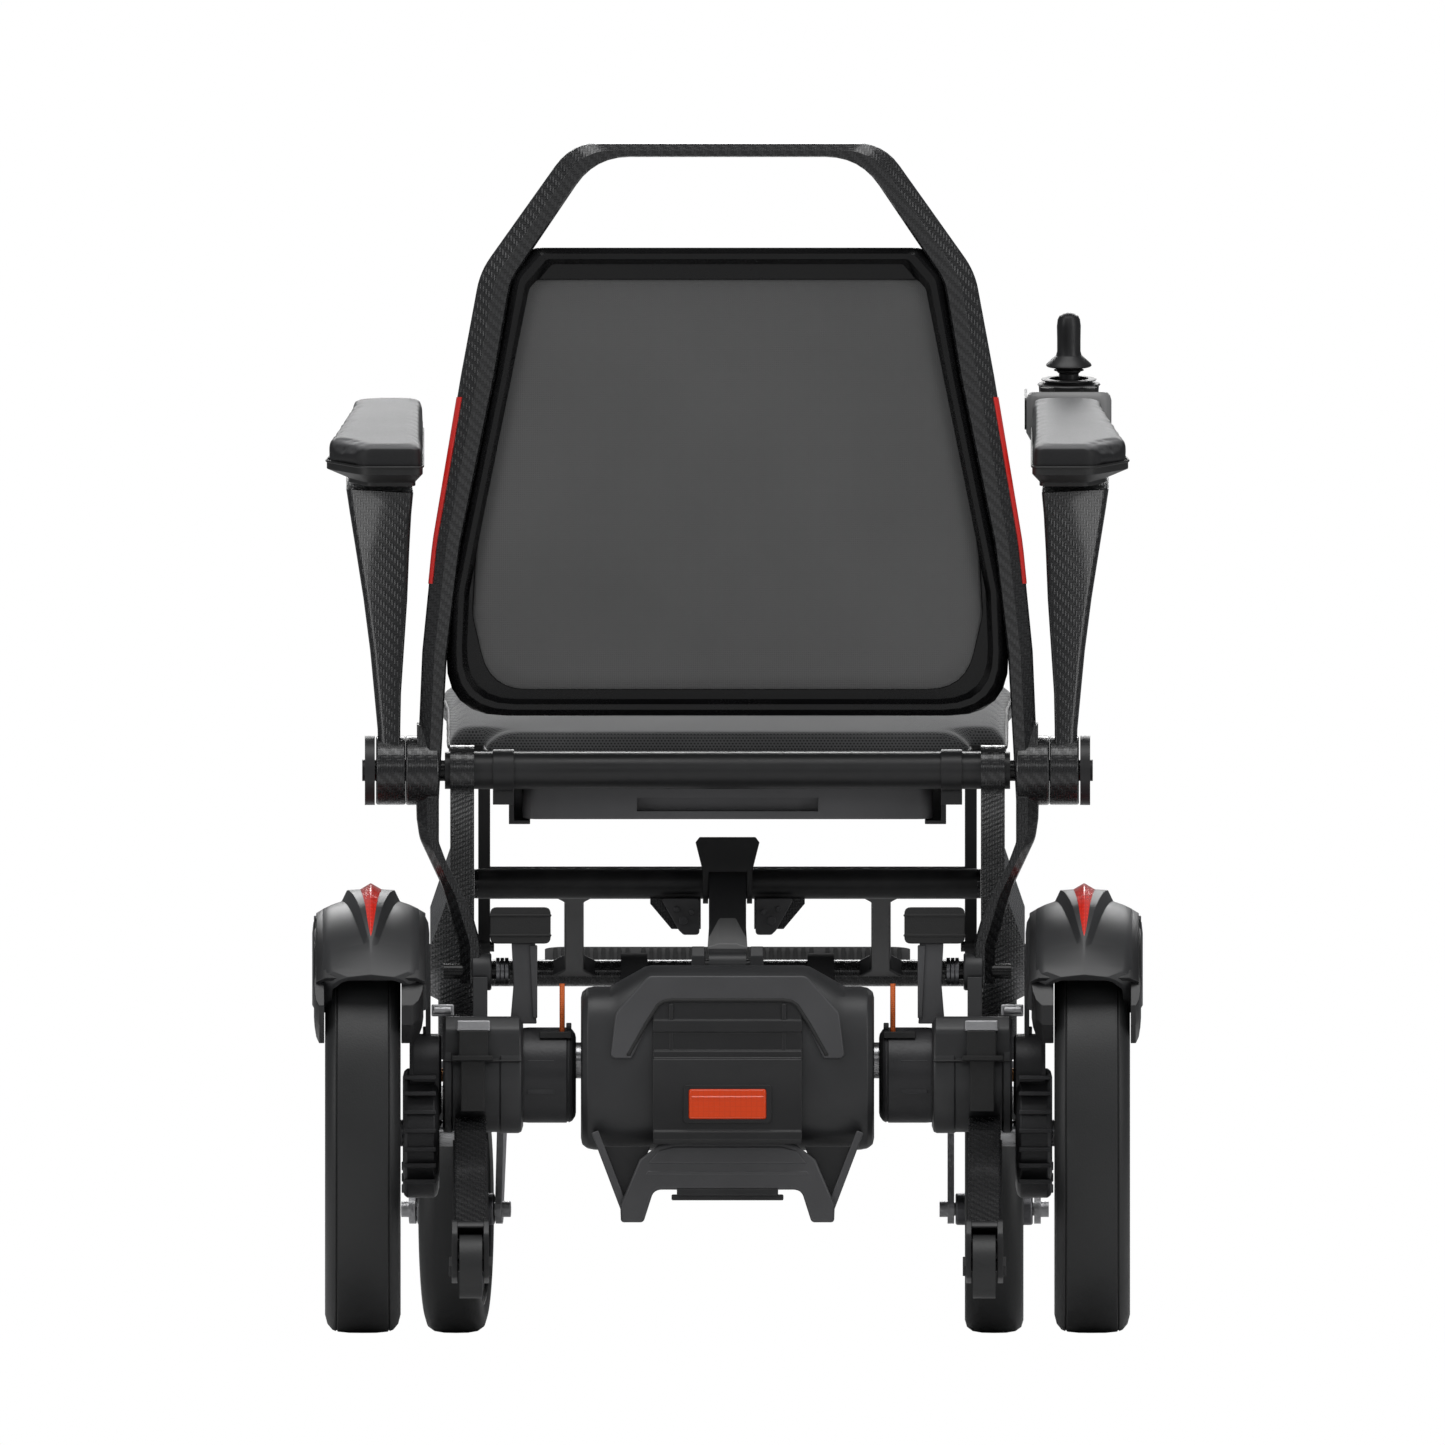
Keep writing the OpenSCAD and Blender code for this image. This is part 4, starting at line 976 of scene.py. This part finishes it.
def unit_ring(x, top, low, rear, front, n=3.2, count=56):
    """Squarish round section of the central unit."""
    ring = []
    for k in range(count):
        a = math.tau * k / count
        c, s = math.cos(a), math.sin(a)
        y = math.copysign(abs(c) ** (2 / n), c) * (front if c > 0 else rear)
        z = math.copysign(abs(s) ** (2 / n), s) * (top if s > 0 else low)
        ring.append((x, y, UNIT_Z + z))
    return ring


stations = mirrored([(-110, 47, 58, 46, 46), (-109, 51.5, 63, 50, 50), (-105, 54.6, 66, 53, 53),
                     (-100, 55.5, 67, 54, 54), (-88, 55.5, 67.5, 55, 55), (-82, 59, 67.5, 56, 56),
                     (-62, 70.2, 67.5, 58, 58), (-57, 71.4, 67.5, 58, 58)])
housing = loft([unit_ring(*s) for s in stations])
lugs = [prism([(30, 255), (54, 235), (54, 283), (48, 290), (36, 290), (30, 283)], x - 5, x + 5, "x")
        for x in (-22, 22)]
piece("unit_case", join(housing, *lugs), REAR, "grey_plastic", ("unit_housing",), bevel=0.8, steps=2,
      angle=24, slot="cast_grey")

panel_profile = [(-50, 249), (-58.6, 249), (-59.4, 235), (-61.5, 234.5), (-62, 226), (-60.4, 225.4),
                 (-61, 212), (-63, 211.4), (-63.4, 206.4), (-66, 205.5), (-71.5, 187), (-72, 152),
                 (-74, 151), (-74, 145), (-70, 141.5), (-50, 141.5)]
shoulder = [(-50, 247), (-60.6, 247), (-61.4, 206), (-50, 206)]
frame_bars = [prism(shoulder, -44, -40.6, "x"), prism(shoulder, 40.6, 44, "x")]
piece("unit_cover_panel", join(prism(panel_profile, -56, 56, "x"), *frame_bars), REAR, "black_plastic",
      ("unit_cover",), bevel=1.1, steps=3)
hood_o = fillet(mirrored([(88, 206, 4), (84, 240, 10), (59, 268, 8)])
                + mirrored([(-72, 206, 2), (-60, 231, 6), (-48, 249.5, 8)]), 4)
piece("unit_hood", prism(hood_o, -59.4, -50, "y"), REAR, "stand_plastic", bevel=2.6, steps=4,
      slot="stand_plastic")
arch = mirrored([(-74, 209), (-61, 232), (-52, 246), (-48, 248.6), (-42, 249.6)], [(0, 249.6)])
arch_path = [(x, -59.0, z) for x, z in arch]
ends = [lathe([(-2.2, 0.5), (-1.4, 1.9), (1.4, 1.9), (2.2, 0.5)], -58, 209, 16, x=x) for x in (-74, 74)]
piece("unit_seal", join(sweep(arch_path, 1.5, 10), *ends), REAR, "rubber", bevel=0)
lens_outline = rounded(-29, 160.5, 29, 183, 2)
lens = loft([[(x, -70, z) for x, z in lens_outline], [(x, -73.2, z) for x, z in lens_outline],
             [(x * 0.97, -74.4, 171.75 + (z - 171.75) * 0.92) for x, z in lens_outline]])
lens_bar = prism([(-74, 176), (-75.2, 177), (-74, 178)], -27, 27, "x")
piece("rear_light_lens", join(lens, lens_bar), REAR, "lens", ("rear_light",), bevel=0.3)
bezel_o = rounded(-33, 157.5, 33, 186, 3)
bezel = loft([[(x, -71, z) for x, z in bezel_o], [(x, -73.4, z) for x, z in bezel_o],
              [(x, -73.4, z) for x, z in lens_outline], [(x, -71, z) for x, z in lens_outline]], loop=True)
piece("rear_light_bezel", bezel, REAR, "black_plastic", bevel=0.5)

# ---------- folding stand ----------

arch_out = (mirrored([(-80, 83), (-63, 83), (-56, 105), (-52, 107.5)])
            + mirrored([(80.5, 96), (66, 130), (52, 141), (40, 144)]))
band = mirrored([(-60, 127), (-48, 127)]) + mirrored([(52, 137), (40, 140)])
ridge_line = [(-62, 118), (62, 118), (60, 122), (-60, 122)]
foot_steps = [block((-42, -60, 99.5), (42, -38, 104)), block((-38, -62.5, 103), (38, -36, 108.5))]
stand = prism(arch_out, -62, -36, "y")
stand_lines = join(prism(band, -62.9, -58, "y"), prism(ridge_line, -62.5, -58, "y"))
piece("stand_ribs", stand_lines, REAR, "stand_plastic", bevel=1.4, steps=3)
piece("stand_arch", stand, REAR, "stand_plastic", ("folding_stand",), bevel=6.5, steps=5)
piece("stand_step", join(*foot_steps), REAR, "black_plastic", bevel=1.0, slot="black_plastic")
strut = prism([(102, 150), (97, 152), (76, 98), (80, 92)], -58, -44, "y")
# Black plates filling the gap between each stay and the arch: painted shade, a dark sheet put where the gap
# lies in shade.
gap_shade_plate = prism([(96, 140), (58, 140), (64, 122), (76, 101), (79, 96)], -52, -46, "y")
piece("stand_gap_shade_plates", both(gap_shade_plate), REAR, "black_plastic", bevel=0.5)
shafts = rod(107, 115.5, 13.5, 0, UNIT_Z)
piece("unit_shaft_ends", both(shafts), REAR, "steel", bevel=0.6)
piece("stand_stays", both(strut), REAR, "stand_plastic", bevel=1.0)

# ---------- motors, clamps, gearboxes, anti-tip arms ----------

MOTOR = joint_mm("motor_spin_right")
ROLLER = joint_mm("antitip_spin_right")

case = lathe([(113.6, 28), (114.2, 31), (116.5, 34.4), (119, 35.6), (119.4, 34.9), (120.2, 34.9),
              (120.6, 35.8), (149, 35.8), (154.4, 35.4)], MOTOR.y, MOTOR.z, 80)
pads = join(block((130, -34.5, MOTOR.z + 8), (150, -20, MOTOR.z + 11)),
            block((130, -34.5, MOTOR.z - 14), (150, -20, MOTOR.z - 11)))
pair("motor_shell", join(case, pads), REAR, "cast_grey", ("motor_case_{}",), bevel=0.5)
slot_cover = join(block((117, -25, MOTOR.z + 27.5), (141, -8, MOTOR.z + 32.5)),
                  rod(117, 121, 4.2, -6, MOTOR.z + 35))
pair("motor_socket", slot_cover, REAR, "rubber", bevel=0.6, slot="rubber")
gear_house = join(
    lathe([(216, 40), (217.5, 46), (220, 48.6), (240, 48.6), (242.5, 46.6), (243.6, 42)],
          AXLE.y, AXLE.z, 80),
    lathe([(214.5, 28), (216, 31), (236, 31), (238.5, 28.5)], MOTOR.y, MOTOR.z, 64),
    prism([(-30, MOTOR.z - 4), (30, MOTOR.z - 4), (42, AXLE.z + 20), (-42, AXLE.z + 20)], 219, 238, "x"))
ribs = [block((218.5, -51 + 0.045 * (z - 150) ** 2 / 10, z), (243, -20, z + 3.2))
        for z in (112, 124, 136, 150, 164, 178, 190)]
bolts = [rod(238, 244.4, 3.4, 42 * math.sin(a), AXLE.z + 42 * math.cos(a), 18) for a in (2.2, 3.0, 3.8, 4.6)]
pair("gear_shell", join(gear_house, *ribs, *bolts), REAR, "cast_grey", ("gearbox_{}",), bevel=0.7)
clamp = join(
    lathe([(153.2, 38), (154.6, 42.5), (157, 43.6), (170, 43.6), (171, 42.8), (206, 42.8), (207, 44.4),
           (212, 44.4), (213.6, 42)], MOTOR.y, MOTOR.z, 80),
    prism(fillet([(-41, MOTOR.z + 11.5, 2), (-41, MOTOR.z + 34, 8), (-30, MOTOR.z + 44, 6),
                  (24, MOTOR.z + 44, 8), (30, MOTOR.z + 11.5, 2)], 3), 156, 211.5, "x"),
    prism([(-13, LOW.z - 4), (13, LOW.z - 4), (27, MOTOR.z + 40), (-21, MOTOR.z + 40)], 180, 191, "x"),
    lathe([(177, 13), (178, 14), (191, 14), (192, 13)], LOW.y, LOW.z, 48))
pair("clamp_shell", clamp, REAR, "grey_plastic", slot="cast_grey", bevel=0.9, steps=3)
line = join(block((154, -45, MOTOR.z + 10), (213, -30, MOTOR.z + 11.4)),
            block((179.5, -54, MOTOR.z + 13.5), (201.5, -36, MOTOR.z + 33)),
            block((182, -52, 166), (200, -36, MOTOR.z + 11)),
            block((176, -56, MOTOR.z + 10.8), (207, -36, MOTOR.z + 14.6)))
pair("clamp_screw_block", line, REAR, "rubber", bevel=0.7, steps=2)
cap = join(block((178, -52.5, MOTOR.z + 33), (203, -34, MOTOR.z + 41)),
           block((205, -12, MOTOR.z + 44), (222, 12, MOTOR.z + 53)),
           rod(207, 221, 3, -13, MOTOR.z + 48.5, 16))
pair("clamp_cap", cap, REAR, "light_alloy", bevel=1.2, steps=3, slot="steel")
arm = prism(fillet([(30, 160, 4), (14, 116, 8), (-196, 46, 8), (-222, 46, 6), (-222, 74, 8), (-66, 152, 12),
                    (-40, 162, 8)], 3), 180.8, 204.6, "x")
pair("antitip_arm", arm, REAR, "carbon", bevel=1.8, steps=3, slot="carbon")
strap = [prism([(-60, 138), (-190, 72), (-190, 78), (-60, 145)], x, x + 1.6, "x") for x in (179.4, 204.4)]
plate = fillet([(-190, 52, 6), (-190, 85, 3), (-238, 85, 8), (-250, 74, 8), (-250, 42, 8), (-222, 37, 8)], 4)
bridge = fillet([(-190, 50, 2), (-190, 84, 2), (-238, 84, 6), (-244, 79, 2), (-224, 76, 6), (-211, 64, 6),
                 (-207, 50, 2)], 3)
nuts = join(rod(176.4, 179.2, 8.4, ROLLER.y, ROLLER.z, 6), rod(206.4, 209, 8.4, ROLLER.y, ROLLER.z, 6))
holder = join(prism(plate, 178.8, 183, "x"), prism(plate, 202.4, 206.8, "x"),
              prism(bridge, 182.6, 202.8, "x"), nuts, *strap)
pair("antitip_fork", holder, REAR, "black_plastic", bevel=1.0, steps=3)
head = prism(rounded(132.6, 292, 178, 319.4, 5, 5), -14, 14, "y")
rib = [prism(rounded(132, z, 178.6, z + 2.4, 1, 2), -14.6, 14.6, "y") for z in (297, 312)]
pair("bump_pad", join(head, *rib), REAR, "rubber", bevel=2.2, steps=3)
post = join(prism([(143, 232), (163, 232), (160.5, 262), (162, 292.6), (144, 292.6), (146, 262)],
                  -10.5, 10.5, "y"),
            prism([(142.6, 236), (146.2, 236), (148.6, 291), (142.6, 291)], -12.2, -9, "y"))
pair("bump_post", post, REAR, "stand_plastic", bevel=1.0, steps=3, slot="stand_plastic")

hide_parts("clamp_blocks")
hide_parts("antitip_tubes")
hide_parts("bump_stops")

# ---------- latch ----------

arm_foot = joint_mm("latch_arm_fold")
tip = joint_mm("latch_release")
facets = []
for k in range(9):
    t = k / 8
    w = 15 - 2.8 * t
    y = arm_foot.y + 6 + (tip.y - 12 - arm_foot.y - 6) * t
    z = arm_foot.z + 13 + (tip.z + 3 - arm_foot.z - 13) * t
    facets.append([(-w, y, z - 5), (-w, y, z + 0.5), (-w * 0.45, y, z + 3.2), (w * 0.45, y, z + 3.2),
                   (w, y, z + 0.5), (w, y, z - 5)])
piece("latch_arm_cover", loft(facets), "latch_arm", "light_grey", bevel=0.8, steps=2, angle=12,
      slot="grey_plastic")
crossbar = Vector((0, 228.35, 337))
bracket = fillet([(21, 326, 2), (50, 326, 2), (36.5, 302, 4), (33, 298.6, 3), (21, 298.6, 3)], 4)
ear = join(prism(bracket, crossbar.y - 13, crossbar.y - 8, "y"),
           *[moved(rod(0, 6, r, 0, 0, 20), Matrix.Translation((x, crossbar.y - 17, z)) @ ACROSS)
             for x, z, r in ((33, 309.5, 3.4), (27, 316, 2.2), (38, 318, 2.2))])
piece("hook_brackets", both(ear), "front_frame", "stand_plastic", bevel=0.8, steps=2)
piece("crossbar_sleeve", rod(-187, 187, 11.4, crossbar.y, crossbar.z, 56), "front_frame", "black_plastic",
      bevel=0)
footbar = Vector((0, 376.82, 270))
run = footbar - crossbar
down = run.normalized()
slope = Matrix(((1, 0, 0, 0), (0, down.z, down.y, 0), (0, -down.y, down.z, 0), (0, 0, 0, 1)))
slope = Matrix.Translation(crossbar) @ slope
span = run.length
post = fillet([(-17, 8, 0), (17, 8, 0), (7.2, 20, 9), (7.2, span - 20, 9), (17, span - 8, 0),
               (-17, span - 8, 0), (-7.2, span - 20, 9), (-7.2, 20, 9)], 6)
posts = [moved(moved(prism(post, -7, 7, "y"), slope), Matrix.Translation((x, 0, 0))) for x in (-115, 115)]
piece("ladder_posts", join(*posts), "front_frame", "black_plastic", bevel=1.6, steps=3)

# ---------- casters ----------

def caster_frame(word):
    """Placement of a caster wheel, its axle along local X."""
    j = joints["caster_spin_" + word]
    axis = Vector(j["axis"]).normalized()
    pos = Vector(j["pos_m"]) / MM
    return Matrix.Translation(pos) @ Matrix.Rotation(math.atan2(axis.y, axis.x), 4, "Z")


CASTER = mirrored([(-20.5, 72), (-22, 75), (-22, 83), (-20.4, 88.4), (-16, 91.6), (-9, 92.8)], [(0, 93)])
for side, word in ((1, "right"), (-1, "left")):
    place = caster_frame(word)
    bore = 6.4
    hub = mirrored([(-29, bore), (-29, 11), (-28, 12), (-18.5, 12), (-17.5, 13), (-17.5, 20), (-6, 24),
                    (-6, 60), (-17.5, 64), (-18, 71.6)])
    spoke = prism([(20, -3), (64, -3), (64, 3), (20, 3)], -15.5, 15.5, "x")
    spokes = [moved(spoke, Matrix.Rotation(k * math.tau / 6, 4, "X")) for k in range(6)]
    piece("caster_core_" + word, moved(join(lathe(hub, 0, 0, 96, closed=True), *spokes), place),
          "caster_wheel_" + word, "alloy", ("caster_hub_" + word,), bevel=0.7)
    piece("caster_band_" + word, moved(lathe(CASTER, 0, 0, 112, closed=True), place), "caster_wheel_" + word,
          "tyre", ("caster_tyre_" + word,), bevel=0.3, angle=40)

# ---------- carried-over solids ----------

LOOKS = {
    "front_frame": ("carbon", 0.8), "cross_tube": ("black_plastic", 0.5), "hub_axles": ("gloss_black", 0.3),
    "hub_caps": ("black_plastic", 0.7), "footplate": ("step_plastic", 0.9),
    "footplate_grips": ("dull_rubber", 0.4), "seat_pan": ("black_plastic", 0.6),
    "battery_pack": ("battery_case", 1.0), "seat_prop": ("black_plastic", 0.6),
    "back_screws": ("steel", 0.3), "pivot_springs": ("alloy", 0.3), "pivot_pins": ("gloss_black", 0.3),
    "control_board": ("board", 0.1), "release_cables": ("orange_cord", 0.0),
    "latch_arm": ("grey_plastic", 0.6), "latch_paddle": ("black_plastic", 0.8),
    "joystick_gimbal": ("steel", 0.2), "power_button": ("rubber", 0.3), "horn_button": ("rubber", 0.3)}
PAIR_LOOKS = {"rotor": ("copper", 0.2), "axle_gear": ("steel", 0.2), "fork": ("light_alloy", 0.9),
              "antitip_roller": ("tyre", 0.8)}
for stem, look in PAIR_LOOKS.items():
    LOOKS[stem + "_left"] = LOOKS[stem + "_right"] = look
for node, look in LOOKS.items():
    dress(node, *look)

# ---------- studio ----------

HALF_FLOOR = 4
floor_mesh = bpy.data.meshes.new("floor")
floor_corners = [(x * HALF_FLOOR, y * HALF_FLOOR, 0) for x, y in ((-1, -1), (1, -1), (1, 1), (-1, 1))]
floor_mesh.from_pydata(floor_corners, [], [[0, 1, 2, 3]])
floor = link("floor", floor_mesh)
pale = Finish("pale_floor")
floor_mesh.materials.append(pale.set(Base_Color=(0.86, 0.86, 0.86), Roughness=0.7,
                                     Normal=pale.bump(pale.noise(40.0), 0.0002)))

world = bpy.data.worlds.new("studio")
scene.world = world
world.use_nodes = True
tree = world.node_tree
tree.nodes.clear()
out = tree.nodes.new("ShaderNodeOutputWorld")
mix = tree.nodes.new("ShaderNodeMixShader")
path = tree.nodes.new("ShaderNodeLightPath")
white = tree.nodes.new("ShaderNodeBackground")
white.inputs["Color"].default_value = (1, 1, 1, 1)
white.inputs["Strength"].default_value = 1.0
sky = tree.nodes.new("ShaderNodeBackground")
sky.inputs["Color"].default_value = (0.95, 0.97, 1, 1)
sky.inputs["Strength"].default_value = 0.15
tree.links.new(path.outputs["Is Camera Ray"], mix.inputs["Fac"])
tree.links.new(sky.outputs[0], mix.inputs[1])
tree.links.new(white.outputs[0], mix.inputs[2])
tree.links.new(mix.outputs[0], out.inputs["Surface"])


def softbox(name, place, aim, size, power):
    """Area light turned towards a point."""
    data = bpy.data.lights.new(name, "AREA")
    data.shape = "RECTANGLE"
    data.size, data.size_y = size
    data.energy = power
    obj = link(name, data)
    obj.location = place
    obj.rotation_euler = (Vector(aim) - Vector(place)).to_track_quat("-Z", "Y").to_euler()


softbox("key_top", (0.0, -0.6, 2.6), (0, 0, 0.4), (2.4, 1.6), 36)
softbox("side_left", (-2.2, -1.6, 1.2), (0, 0, 0.5), (0.7, 2.0), 15)
softbox("side_right", (2.2, -1.6, 1.2), (0, 0, 0.5), (0.7, 2.0), 15)
softbox("rear_fill", (0.3, -3.6, 1.6), (0, 0, 0.4), (1.8, 0.6), 5)
softbox("front_rim", (0.0, 2.6, 1.8), (0, 0, 0.5), (2.0, 0.8), 30)

VIEW_WIDTH = 1.08375
VIEW_CENTRE = (-0.00375, 0.4579)
VIEW_DISTANCE = 6
camera_data = bpy.data.cameras.new("camera")
camera_data.type = "ORTHO"
camera_data.ortho_scale = VIEW_WIDTH
camera = link("camera", camera_data)
camera.location = (VIEW_CENTRE[0], -VIEW_DISTANCE, VIEW_CENTRE[1])
camera.rotation_euler = (math.pi / 2, 0, 0)
scene.camera = camera
scene.view_settings.view_transform = "Standard"
